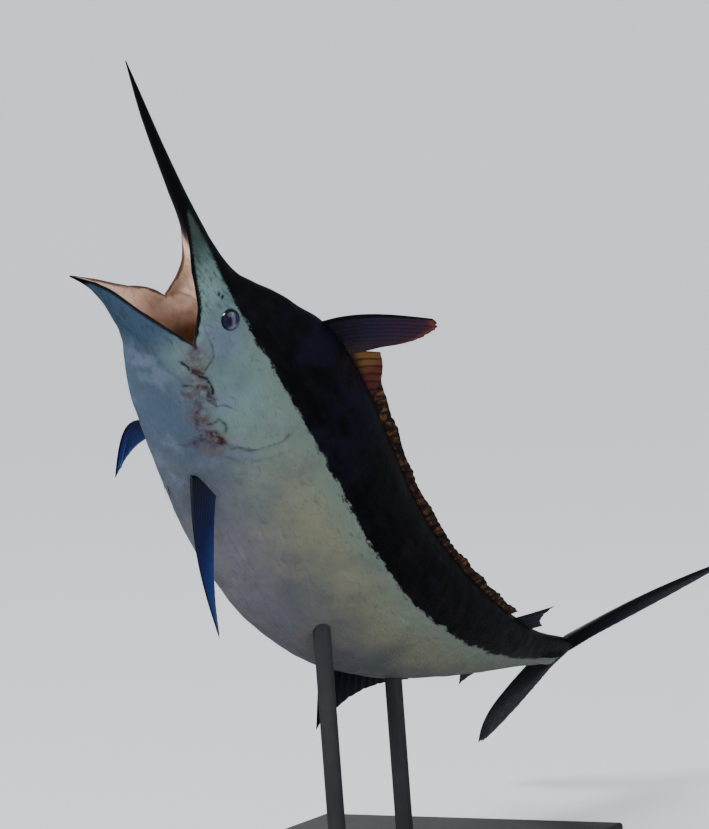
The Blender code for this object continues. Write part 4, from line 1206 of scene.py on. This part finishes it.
@dataclass
class Eye:
    """One eye, a flattened ball set in its socket along the skin's own direction."""

    side: Side
    aft: float = 0.009
    up: float = 0.151
    radius: float = 0.0385
    depth: float = 0.0260
    sunk: float = 0.0110

    def build(self, dress: Material) -> Piece:
        """Make the eye.

        Args:
            dress: The eye's material.

        Returns:
            The piece.
        """
        mesh = bpy.data.meshes.new(f"eye_ball_{self.side.name.lower()}")
        shape = bmesh.new()
        bmesh.ops.create_uvsphere(shape, u_segments=96, v_segments=64, radius=1.0)
        shape.to_mesh(mesh)
        shape.free()
        ball = read_points(mesh)
        centre, outward, _, _ = socket_frame(self.aft, self.up)
        outward = unit(*(outward + np.array([0.0, 1.0, 0.0])))
        rearward, upward = turned_about(outward)
        out = self.depth * ball[:, 2:] - self.sunk
        flat = self.radius * (ball[:, :1] * rearward + ball[:, 1:2] * upward)
        straight = (centre + flat + out * outward) * self.side.mirror()
        reach = np.hypot(ball[:, 0], ball[:, 1])
        angle = np.arctan2(ball[:, 1], ball[:, 0])
        write_value(mesh, "reach", reach)
        write_value(mesh, "place", np.stack([np.cos(angle), reach, np.sin(angle)], axis=1))
        move_points(mesh, straight)
        if self.side is Side.RIGHT:
            mesh.flip_normals()
        return finish_piece(mesh, dress, Slot.EYE, f"eye_{self.side.name.lower()}")


def socket_frame(aft: float, up: float) -> tuple[Array, Array, Array, Array]:
    """Return the left skin's point with its outward, rearward and upward directions there."""
    here = FORM.on_skin(np.array([aft]), np.array([up]), np.array([0.0]))[0]
    outward = FORM.on_skin(np.array([aft]), np.array([up]), np.array([1.0]))[0] - here
    return here, outward, *turned_about(outward)


def turned_about(outward: Array) -> tuple[Array, Array]:
    """Return the rearward and upward directions across an outward one."""
    rearward = unit(*(np.array([1.0, 0.0, 0.0]) - outward[0] * outward))
    return rearward, np.cross(rearward, outward)


def unit(*numbers: float) -> Array:
    """Return a direction of length one."""
    way = np.array(numbers, dtype=float)
    return way / np.linalg.norm(way)


@dataclass(frozen=True)
class FinFinish(Finish):
    """A fin's membrane between darker rays, changing from root to tip."""

    root: Colour
    middle: Colour
    tip: Colour
    ray: Colour
    edge: Colour
    lead: Colour
    trail: Colour
    edge_breadth: float = 0.10
    lead_breadth: float = 0.16
    trail_share: float = 0.0
    ray_share: float = 0.6
    roughness: float = 0.36
    ray_depth: float = 0.0011
    grain_depth: float = 0.0005

    def lay(self, nodes: Nodes) -> None:
        """Lay out the material's nodes."""
        place = nodes.place()
        along, chord, ray = nodes.number("along"), nodes.number("chord"), nodes.number("ray")
        mottle = nodes.noise(nodes.stretch(place, (1.0, 1.0, 2.5)), 24.0, 6.0, 0.62)
        fine = nodes.noise(place, 140.0, 4.0, 0.6)
        wander = nodes.times(mottle, 0.30, nodes.less(along, 0.15))
        membrane = nodes.ramp(wander, (0.05, self.root), (0.5, self.middle), (0.92, self.tip))
        membrane = nodes.mix(nodes.ease(mottle, 0.5, 0.85, 0.0, 0.6), membrane, self.middle)
        ray_here = nodes.times(nodes.ease(ray, 0.45, 0.95, 0.0, self.ray_share),
                               nodes.ease(fine, 0.25, 0.6, 0.5, 1.0))
        colour = nodes.mix(ray_here, membrane, self.ray)
        patchy = nodes.ease(mottle, 0.35, 0.6, 0.25, 1.0)
        trailing = nodes.times(nodes.ease(chord, 0.45, 0.95, 0.0, self.trail_share), patchy)
        colour = nodes.mix(trailing, colour, self.trail)
        edge = nodes.times(nodes.ease(along, 1.0 - self.edge_breadth, 1.0), patchy)
        colour = nodes.mix(edge, colour, self.edge)
        colour = nodes.mix(nodes.ease(chord, self.lead_breadth, 0.2 * self.lead_breadth), colour, self.lead)
        relief = nodes.bump(fine, self.grain_depth, nodes.bump(ray, self.ray_depth))
        rough = nodes.ease(mottle, 0.3, 0.8, self.roughness - 0.08, self.roughness + 0.12)
        nodes.set(Base_Color=colour, Roughness=rough, Normal=relief, Specular_IOR_Level=WET_SPECULAR,
                  **FIN_COAT)


@dataclass(frozen=True)
class RunFinish(Finish):
    """The low run of the first dorsal fin: an amber and red patch in front, then dark mottled brown."""

    amber: Colour = linear(100, 68, 30)
    red: Colour = linear(84, 34, 26)
    brown: Colour = linear(34, 20, 22)
    rust: Colour = linear(106, 66, 28)
    ray: Colour = linear(22, 14, 14)
    patch_start: float = 0.525
    ray_depth: float = 0.0011
    grain_depth: float = 0.0006

    def lay(self, nodes: Nodes) -> None:
        """Lay out the material's nodes."""
        place = nodes.place()
        aft, _, _ = nodes.split(place)
        mottle = nodes.noise(place, 30.0, 6.0, 0.65)
        fine = nodes.noise(place, 150.0, 4.0, 0.6)
        here = nodes.times(mottle, 0.05, nodes.less(aft, self.patch_start))
        patch = nodes.ramp(nodes.times(here, 2.0), (0.12, self.amber), (0.21, self.red), (0.30, self.red),
                           (0.42, self.brown))
        rear = nodes.ease(aft, 0.62, 0.70)
        colour = nodes.mix(nodes.times(nodes.ease(mottle, 0.46, 0.60, 0.0, 0.9), rear), patch, self.rust)
        specks = nodes.ease(nodes.noise(place, 80.0, 4.0, 0.6), 0.54, 0.46, 0.0, 0.65)
        colour = nodes.mix(nodes.times(specks, rear), colour, self.ray)
        ray_here = nodes.times(nodes.ease(nodes.number("ray"), 0.35, 0.9, 0.0, 0.75),
                               nodes.ease(fine, 0.3, 0.6, 0.5, 1.0))
        colour = nodes.mix(ray_here, colour, self.ray)
        colour = nodes.mix(nodes.ease(nodes.number("along"), 0.55, 0.20), colour, self.ray)
        relief = nodes.bump(fine, self.grain_depth, nodes.bump(nodes.number("ray"), self.ray_depth))
        nodes.set(Base_Color=colour, Roughness=nodes.ease(mottle, 0.3, 0.8, 0.3, 0.5), Normal=relief,
                  Specular_IOR_Level=WET_SPECULAR, **FIN_COAT)


@dataclass
class Fin:
    """A fin of many rays, each a ridge on a thinner membrane."""

    name: str
    nodes: tuple[str, ...]
    rays: int
    across: Array
    root_thickness: float
    tip_thickness: float
    rows: int = 40
    columns_per_ray: int = 6
    ridge: float = 0.45
    notch: float = 0.025
    wear: float = 0.009
    tatter: int = 1
    end_round: float = 0.03
    tip_round: float = 0.04
    root_round: float = 0.02
    side: Side = Side.LEFT

    def root(self, share: Array) -> Array:
        """Return the root of the ray at each share of the base."""
        raise NotImplementedError

    def tip(self, share: Array) -> Array:
        """Return the tip of the ray at each share of the base."""
        raise NotImplementedError

    def torn_at(self, share: Array) -> Array:
        """Return how torn the free edge is along the base, from 0 to 1."""
        return np.ones_like(share)

    def bow(self, share: Array, along: Array) -> Array:
        """Return how each ray bows along its length."""
        return np.zeros((*np.broadcast(share, along).shape, 3))

    def build(self, dress: Material) -> Piece:
        """Make the fin.

        Args:
            dress: The fin's material.

        Returns:
            The piece.
        """
        share = np.linspace(0.0, 1.0, (self.rays - 1) * self.columns_per_ray + 1)
        along = np.linspace(0.0, 1.0, self.rows)[None, :]
        phase = share * (self.rays - 1)
        ray = np.cos(math.pi * phase) ** 2
        draw = np.random.default_rng(len(self.name))
        knots = np.arange(0, self.rays + self.tatter, self.tatter)
        worn = np.interp(phase, knots, draw.uniform(-1.0, 1.0, len(knots)))
        slit = self.notch * (0.3 + 1.7 * draw.uniform(0.0, 1.0, self.rays + 1)[phase.astype(int)] ** 2)
        length = 1.0 - self.torn_at(share) * (slit * (1.0 - np.sqrt(ray)) + self.wear * (1.0 + worn))
        root, tip = self.root(share), self.tip(share)
        reach = (along * length[:, None])[..., None]
        middle = root[:, None, :] + (tip - root)[:, None, :] * reach + self.bow(share[:, None], along)
        thick = self.root_thickness + (self.tip_thickness - self.root_thickness) * along
        thick = thick * (1.0 - self.ridge * (1.0 - ray[:, None] ** 1.5))
        ends = np.minimum(share, 1.0 - share)[:, None]
        thin = np.sqrt(np.clip(ends / self.end_round, 0.0, 1.0))
        thin = thin * np.sqrt(np.clip((1.0 - along) / self.tip_round, 0.0, 1.0))
        thin = thin * np.sqrt(np.clip(along / self.root_round, 0.0, 1.0))
        half = 0.5 * thick * thin
        sheet = Sheet()
        for way in (1.0, -1.0):
            grid = middle + self.across * (way * half)[..., None]
            sheet.add(grid * self.side.mirror(), ray=ray[:, None] ** 2, along=along, chord=share[:, None])
        mesh = sheet.weld(self.name)
        straight = read_points(mesh)
        write_value(mesh, "place", straight)
        move_points(mesh, straight)
        return finish_piece(mesh, dress, Slot.FIN, *self.nodes)


@dataclass
class FirstDorsal(Fin):
    """A stretch of the long first dorsal fin, from the places where its rays leave the back."""

    start: float = 0.30
    end: float = 0.478
    sunk: float = 0.03
    forward_bow: float = 0.0
    tip_aft: Curve = Curve((0.30, 0.30), (2.20, 2.20))
    tip_rise: Curve = Curve((0.30, 0.03), (2.20, 0.03))

    def bases(self, share: Array) -> Array:
        """Return where each ray leaves the back."""
        return self.start + (self.end - self.start) * share

    def root(self, share: Array) -> Array:
        """Return the rays' roots, sunk in the back."""
        aft = self.bases(share)
        return middle_plane(aft, FORM.back(aft) - self.sunk)

    def tip(self, share: Array) -> Array:
        """Return the rays' tips."""
        aft = self.bases(share)
        tip_aft = self.tip_aft(aft)
        return middle_plane(tip_aft, FORM.back(tip_aft) + self.tip_rise(aft))

    def bow(self, share: Array, along: Array) -> Array:
        """Return the leading edge's forward bow."""
        amount = self.forward_bow * np.sin(math.pi * along ** 0.85) * (1.0 - share)
        return amount[..., None] * np.array([-1.0, 0.0, 0.0])


@dataclass
class DorsalLobe(FirstDorsal):
    """The tall lobe in front."""

    forward_bow: float = 0.039
    tip_aft: Curve = Curve((0.30, 0.538), (0.33, 0.562), (0.36, 0.585), (0.39, 0.588), (0.415, 0.580),
                           (0.44, 0.562), (0.465, 0.532), (0.478, 0.520))
    tip_rise: Curve = Curve((0.30, 0.316), (0.33, 0.324), (0.36, 0.308), (0.39, 0.268), (0.415, 0.216),
                            (0.44, 0.166), (0.465, 0.104), (0.478, 0.070))


@dataclass
class DorsalRun(FirstDorsal):
    """The low run behind the lobe, with a torn edge."""

    start: float = 0.4800
    end: float = 2.20
    forward_bow: float = 0.016
    tip_aft: Curve = Curve((0.48, 0.553), (0.52, 0.584), (0.58, 0.628), (0.64, 0.672), (0.74, 0.765),
                           (1.00, 1.03), (2.20, 2.25))
    tip_rise: Curve = Curve((0.48, 0.103), (0.52, 0.093), (0.58, 0.075), (0.64, 0.057), (0.74, 0.050),
                            (2.20, 0.037))

    def torn_at(self, share: Array) -> Array:
        """Return a torn edge behind the front patch, which is nearly whole."""
        return 0.2 + 0.8 * step_between(0.60, 0.80, self.bases(share))


@dataclass
class SickleFin(Fin):
    """A fin of the middle plane, long in front and falling away behind."""

    start: float = 0.0
    end: float = 1.0
    reach: float = 0.17
    rise: float = 0.105
    low: float = 0.022
    lean: float = 0.085
    sunk: float = 0.02
    hollow: float = 2.6
    sign: float = 1.0

    def bases(self, share: Array) -> tuple[Array, Array]:
        """Return how far aft and how high each ray leaves the body."""
        aft = self.start + (self.end - self.start) * share
        return aft, FORM.back(aft) if self.sign > 0 else FORM.belly(aft)

    def root(self, share: Array) -> Array:
        """Return the rays' roots, sunk in the body."""
        aft, line = self.bases(share)
        return middle_plane(aft, line - self.sign * self.sunk)

    def tip(self, share: Array) -> Array:
        """Return the rays' tips."""
        fall = (1.0 - share) ** self.hollow
        aft, line = self.bases(share)
        height = self.low + (self.rise - self.low) * fall
        return middle_plane(aft + self.reach * fall + self.lean * (1.0 - fall), line + self.sign * height)


@dataclass
class PectoralFin(Fin):
    """A stiff side fin, held out, back and down from the shoulder."""

    reach_way: Array = field(default_factory=lambda: unit(0.61, 0.67, -0.412))
    forward_bow: float = 0.037
    droop: float = 0.0
    length: float = 0.58
    chord_length: float = 0.135
    taper: float = 0.84
    trail: float = 0.028
    chord_way: Triple = (0.737, -0.281, 0.615)
    root_aft: float = 0.540
    root_up: float = -0.195
    sunk: float = 0.03

    def chord(self) -> Array:
        """Return the direction from the leading to the trailing edge."""
        way = np.array(self.chord_way)
        return unit(*(way - self.reach_way * (way @ self.reach_way)))

    def length_share(self, share: Array) -> Array:
        """Return how long each ray is beside the leading one."""
        return 1.0 - self.taper * share ** 1.25

    def shoulder(self) -> Array:
        """Return the middle of the root, sunk in the side."""
        left = float(FORM.skin_left(np.array(self.root_aft), np.array(self.root_up)))
        return np.array([self.root_aft, left - self.sunk, self.root_up])

    def root(self, share: Array) -> Array:
        """Return the rays' roots."""
        return self.shoulder() + self.chord() * ((share - 0.5) * self.chord_length)[:, None]

    def tip(self, share: Array) -> Array:
        """Return the rays' tips."""
        out = self.length * self.length_share(share)
        back = self.trail * share ** 0.6
        return self.shoulder() + self.reach_way * out[:, None] + self.chord() * back[:, None]

    def bow(self, share: Array, along: Array) -> Array:
        """Return the leading edge's forward bow and the droop of the tip."""
        swell = np.sin(math.pi * along * self.length_share(share))[..., None]
        bowed = -self.chord() * (self.forward_bow * (1.0 - share))[..., None] * swell
        return bowed - self.across * (self.droop * swell)


@dataclass
class PelvicFin(Fin):
    """A very slender fin trailing under the breast."""

    start: float = 0.455
    length: float = 0.26
    root_length: float = 0.022
    root_left: float = 0.030
    tip_left: float = 0.048
    sunk: float = 0.02
    clearance: float = 0.012

    def root(self, share: Array) -> Array:
        """Return the rays' roots, sunk in the breast."""
        aft = self.start + self.root_length * share
        return np.stack([aft, np.full_like(aft, self.root_left), FORM.belly(aft) + self.sunk], axis=1)

    def tip(self, share: Array) -> Array:
        """Return the rays' tips, close under the belly."""
        aft = self.start + self.root_length * share + self.length
        up = FORM.belly(aft) - self.clearance + 0.004 * share
        return np.stack([aft - 0.03 * share, np.full_like(aft, self.tip_left), up], axis=1)


@dataclass
class TailLobe(Fin):
    """One lobe of the crescent tail."""

    sign: float = 1.0
    lead_ahead: float = 0.055
    lead_out: float = 0.045
    root_aft: Curve = Curve((0.0, 2.80), (0.25, 2.865), (0.6, 2.905), (1.0, 2.915))
    root_rise: Curve = Curve((0.0, 0.070), (0.25, 0.058), (0.6, 0.032), (1.0, 0.003))
    tip_aft: Curve = Curve((0.0, 3.300), (0.12, 3.318), (0.25, 3.232), (0.45, 3.115), (0.7, 3.020),
                           (1.0, 2.985))
    tip_rise: Curve = Curve((0.0, 0.665), (0.12, 0.640), (0.25, 0.450), (0.45, 0.255), (0.7, 0.100),
                            (1.0, 0.003))

    def fan(self, aft: Array, rise: Array) -> Array:
        """Return points at distances aft and away from the tail's middle line."""
        end = FORM.tail_end
        centre = 0.5 * float(FORM.back(end) + FORM.belly(end))
        return middle_plane(aft, centre + self.sign * rise)

    def root(self, share: Array) -> Array:
        """Return the rays' roots, sunk in the tail stock."""
        return self.fan(self.root_aft(share), self.root_rise(share))

    def tip(self, share: Array) -> Array:
        """Return the rays' tips."""
        return self.fan(self.tip_aft(share), self.tip_rise(share))

    def bow(self, share: Array, along: Array) -> Array:
        """Return the leading edge's forward bow."""
        amount = np.sin(math.pi * along) * (1.0 - share) ** 2
        return amount[..., None] * np.array([-self.lead_ahead, 0.0, self.sign * self.lead_out])


@dataclass(frozen=True)
class PaintFinish(Finish):
    """Dark satin paint with faint unevenness and dust."""

    colour: Colour = linear(44, 45, 49)
    worn: Colour = linear(70, 71, 75)
    peel_depth: float = 0.0002

    def lay(self, nodes: Nodes) -> None:
        """Lay out the material's nodes."""
        where = nodes.add("TexCoord").outputs["Object"]
        cloud = nodes.noise(where, 5.0, 6.0, 0.6)
        peel = nodes.noise(where, 260.0, 3.0)
        colour = nodes.mix(nodes.ease(cloud, 0.45, 0.8, 0.0, 0.35), self.colour, self.worn)
        rough = nodes.ease(cloud, 0.3, 0.75, 0.36, 0.52)
        nodes.set(Base_Color=colour, Roughness=rough, Normal=nodes.bump(peel, self.peel_depth),
                  Specular_IOR_Level=0.4)


@dataclass
class Stand:
    """The base plate and the two rods with their round feet."""

    base_top: float = 0.06
    rod_radius: float = 0.032
    foot_radius: float = 0.075
    foot_height: float = 0.025
    foot_gap: float = 0.0003
    foot_edge: float = 0.006
    fillet: float = 0.012
    segments: int = 96
    sharp_angle: float = math.radians(40)
    rods: dict = field(default_factory=lambda: {"front": (0.06, 0.02, 1.44), "rear": (0.02, 0.56, 0.83)})

    def profile(self, top: float) -> list[Pair]:
        """Return a rod's outline as (radius, height), with a rounded foot and a soft fillet.

        Args:
            top: The rod's height.

        Returns:
            The outline's points, from the base up.
        """
        bottom = self.base_top + self.foot_gap
        shoulder = bottom + self.foot_height
        edge, fillet = self.foot_edge, self.fillet
        points = [(0.0, bottom), (self.foot_radius, bottom), (self.foot_radius, shoulder - edge)]
        points += [(self.foot_radius - edge * (1 - math.cos(turn)),
                    shoulder - edge * (1 - math.sin(turn))) for turn in np.linspace(0.2, 0.5 * math.pi, 6)]
        points += [(self.rod_radius + fillet * (1 - math.sin(turn)),
                    shoulder + fillet * (1 - math.cos(turn))) for turn in np.linspace(0.0, 0.5 * math.pi, 8)]
        return points + [(self.rod_radius, top), (0.0, top)]

    def build(self, dress: Material) -> None:
        """Make the rods and paint the base.

        Args:
            dress: The stand's paint.
        """
        for name, (x, y, top) in self.rods.items():
            mesh = spun(f"rod_{name}", self.profile(top), self.segments, x, y)
            finish_piece(mesh, dress, Slot.PAINT, f"stand_rod_{name}")
            mesh.set_sharp_from_angle(angle=self.sharp_angle)
        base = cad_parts["stand_base"]
        base.data.materials.clear()
        base.data.materials.append(dress)
        LOG.info("stand_base: painted")


@dataclass(frozen=True)
class BackdropFinish(Finish):
    """Matt pale paper with the faintest clouding."""

    colour: Colour = linear(226, 228, 230)
    cloud: Colour = linear(220, 223, 226)
    glow: Colour = (0.90, 0.93, 1.0)
    glow_strength: float = 0.38

    def lay(self, nodes: Nodes) -> None:
        """Lay out the material's nodes."""
        where = nodes.add("TexCoord").outputs["Object"]
        colour = nodes.mix(nodes.ease(nodes.noise(where, 0.4), 0.3, 0.7, 0.0, 0.3), self.colour, self.cloud)
        nodes.set(Base_Color=colour, Roughness=0.9, Specular_IOR_Level=0.1, Emission_Color=self.glow,
                  Emission_Strength=self.glow_strength)


class LightKind(Enum):
    """The studio's kinds of light."""

    SQUARE = "AREA"
    ROUND = "SUN"


@dataclass
class Studio:
    """The pale bowl-shaped backdrop, the soft lights and the camera."""

    floor_radius: float = 34.0
    curve_radius: float = 14.0
    wall_height: float = 34.0
    segments: int = 128
    distance: float = 16.5
    focal_pixels: float = 4800.0
    sensor: float = 36.0
    subject_pixel: Pair = (180.0, 321.0)
    roll: float = math.radians(4.36)
    aim: Triple = (0.0, -0.2, 1.6)
    far_clip: float = 200.0
    air_colour: tuple[float, float, float, float] = (0.86, 0.92, 1.0, 1.0)
    air_strength: float = 0.16
    toward_camera: Triple = (0.588, 0.809, 0.0)
    toward_right: Triple = (-0.3495, 0.254, 0.902)

    def add_backdrop(self) -> None:
        """Add the bowl round the model."""
        profile = [(0.001, 0.0), (self.floor_radius, 0.0)]
        for turn in np.linspace(0.0, 0.5 * math.pi, 24)[1:]:
            profile.append((self.floor_radius + self.curve_radius * math.sin(turn),
                            self.curve_radius * (1 - math.cos(turn))))
        profile.append((self.floor_radius + self.curve_radius, self.wall_height))
        mesh = spun("backdrop", profile, self.segments)
        mesh.shade_smooth()
        mesh.materials.append(BackdropFinish().build("pale_paper"))
        backdrop = bpy.data.objects.new("backdrop", mesh)
        bpy.context.scene.collection.objects.link(backdrop)
        backdrop.visible_shadow = False
        backdrop.visible_glossy = False

    def add_light(self, name: str, kind: LightKind, place: Triple, size: float, power: float,
                  tint: Colour) -> None:
        """Add a soft light aimed at the fish's middle.

        Args:
            name: The light's name.
            kind: A near square light or a far round one.
            place: Where it hangs, or the way it comes from.
            size: The square's side, or the round one's width in radians.
            power: Its strength.
            tint: Its colour.
        """
        data = bpy.data.lights.new(name, kind.value)
        if kind is LightKind.SQUARE:
            data.size = size
        else:
            data.angle = size
        data.energy = power
        data.color = tint
        light = bpy.data.objects.new(name, data)
        light.location = place
        aim = Vector(self.aim) - Vector(place)
        light.rotation_euler = aim.to_track_quat("-Z", "Y").to_euler()
        bpy.context.scene.collection.objects.link(light)

    def add_lights(self) -> None:
        """Add a large key light, a broad fill, a back light and a pale world."""
        self.add_light("key", LightKind.SQUARE, (-3.0, -15.0, 16.0), 8.0, 4600.0, (1.0, 0.98, 0.95))
        self.add_light("fill", LightKind.ROUND, (9.0, -3.0, 6.0), 0.9, 0.6, (0.93, 0.96, 1.0))
        self.add_light("back", LightKind.ROUND, (-6.0, 6.0, 9.0), 0.5, 0.7, (0.96, 0.98, 1.0))
        world = bpy.data.worlds.new("studio_air")
        world.use_nodes = True
        air = world.node_tree.nodes["Background"]
        air.inputs["Color"].default_value = self.air_colour
        air.inputs["Strength"].default_value = self.air_strength
        bpy.context.scene.world = world

    def add_camera(self) -> None:
        """Add the camera that sees the fish as the picture does."""
        axes = np.stack(POSE.axes())
        back = Vector(np.array(self.toward_camera) @ axes).normalized()
        across = Vector(np.array(self.toward_right) @ axes)
        across = (across - back * across.dot(back)).normalized()
        above = back.cross(across)
        right = math.cos(self.roll) * across - math.sin(self.roll) * above
        top = math.sin(self.roll) * across + math.cos(self.roll) * above
        off_right = 0.5 * IMAGE_WIDTH - self.subject_pixel[0]
        off_down = 0.5 * IMAGE_HEIGHT - self.subject_pixel[1]
        ahead = (off_right * right - off_down * top - self.focal_pixels * back).normalized()
        right = ahead.cross(top).normalized()
        top = right.cross(ahead)
        data = bpy.data.cameras.new("camera")
        data.sensor_width = self.sensor
        data.lens = self.focal_pixels / max(IMAGE_WIDTH, IMAGE_HEIGHT) * self.sensor
        data.clip_end = self.far_clip
        camera = bpy.data.objects.new("camera", data)
        place = Vector(POSE.place) + self.distance * back
        turn = Matrix((right, top, -ahead)).transposed().to_4x4()
        camera.matrix_world = Matrix.Translation(place) @ turn
        bpy.context.scene.collection.objects.link(camera)
        bpy.context.scene.camera = camera

    def build(self) -> None:
        """Set up the whole studio."""
        self.add_backdrop()
        self.add_lights()
        self.add_camera()
        LOG.info("studio ready")


def add_fins() -> None:
    """Build and dress every fin."""
    flat = np.array([0.0, 1.0, 0.0])
    lobe_skin = FinFinish(root=linear(11, 8, 18), middle=linear(36, 26, 50), tip=linear(54, 31, 48),
                          ray=linear(12, 10, 20), edge=linear(112, 56, 36), lead=linear(3, 3, 8),
                          trail=linear(54, 38, 34), trail_share=0.8).build("dorsal_lobe_skin")
    side_skin = FinFinish(root=linear(1, 3, 18), middle=linear(2, 12, 66), tip=linear(32, 54, 114),
                          ray=linear(4, 9, 38), edge=linear(70, 92, 136), lead=linear(3, 7, 28),
                          trail=linear(26, 42, 84), lead_breadth=0.07, trail_share=0.5).build("side_fin_skin")
    tail_skin = FinFinish(root=linear(12, 13, 20), middle=linear(24, 24, 36), tip=linear(36, 32, 44),
                          ray=linear(16, 16, 26), edge=linear(48, 42, 52), lead=linear(8, 8, 14),
                          trail=linear(34, 32, 42), trail_share=0.3).build("tail_skin")
    DorsalLobe("dorsal_lobe", ("first_dorsal_lobe",), 12, flat, 0.012, 0.0026, rows=70, columns_per_ray=10,
               notch=0.014, wear=0.005).build(lobe_skin)
    DorsalRun("dorsal_run", ("first_dorsal_run",), 46, flat, 0.012, 0.0026, rows=24, columns_per_ray=8,
              notch=0.04, wear=0.10, tatter=2).build(RunFinish().build("dorsal_run_skin"))
    SickleFin("second_dorsal", ("second_dorsal_fin",), 7, flat, 0.008, 0.002, start=2.25,
              end=2.42).build(tail_skin)
    SickleFin("first_anal", ("first_anal_fin",), 14, flat, 0.011, 0.002, start=1.60, end=2.02, reach=0.30,
              rise=0.270, low=0.045, lean=0.060, sign=-1.0).build(tail_skin)
    SickleFin("second_anal", ("second_anal_fin",), 7, flat, 0.008, 0.002, start=2.28, end=2.44,
              sign=-1.0).build(tail_skin)
    held_out = ((Side.LEFT, unit(0.61, 0.67, -0.412), 0.037, 0.0),
                (Side.RIGHT, unit(0.555, 0.73, -0.545), 0.075, 0.090))
    for side, reach, forward_bow, droop in held_out:
        label = side.name.lower()
        blade = PectoralFin(f"pectoral_{label}", (f"pectoral_fin_{label}",), 18, flat, 0.016, 0.0028,
                            rows=70, side=side, reach_way=reach, forward_bow=forward_bow, droop=droop)
        blade.across = unit(*np.cross(reach, blade.chord()))
        blade.build(side_skin)
        PelvicFin(f"pelvic_{label}", (f"pelvic_fin_{label}",), 3, flat, 0.008, 0.0025, rows=50,
                  side=side).build(side_skin)
    for label, sign in (("upper", 1.0), ("lower", -1.0)):
        TailLobe(f"caudal_{label}", (f"caudal_fin_{label}",), 24, flat, 0.030, 0.0026, rows=80,
                 sign=sign).build(tail_skin)


def main() -> None:
    """Build the studio, the fish and its stand."""
    logging.basicConfig(level=logging.INFO, format="%(message)s")
    Studio().build()
    skin = SkinFinish().build("marlin_skin")
    Body(FORM).build(skin)
    eye_skin = EyeFinish().build("marlin_eye")
    for side in Side:
        GillCover(side).build(skin)
        Eye(side).build(eye_skin)
    add_fins()
    Stand().build(PaintFinish().build("satin_paint"))


if __name__ == "__main__":
    main()
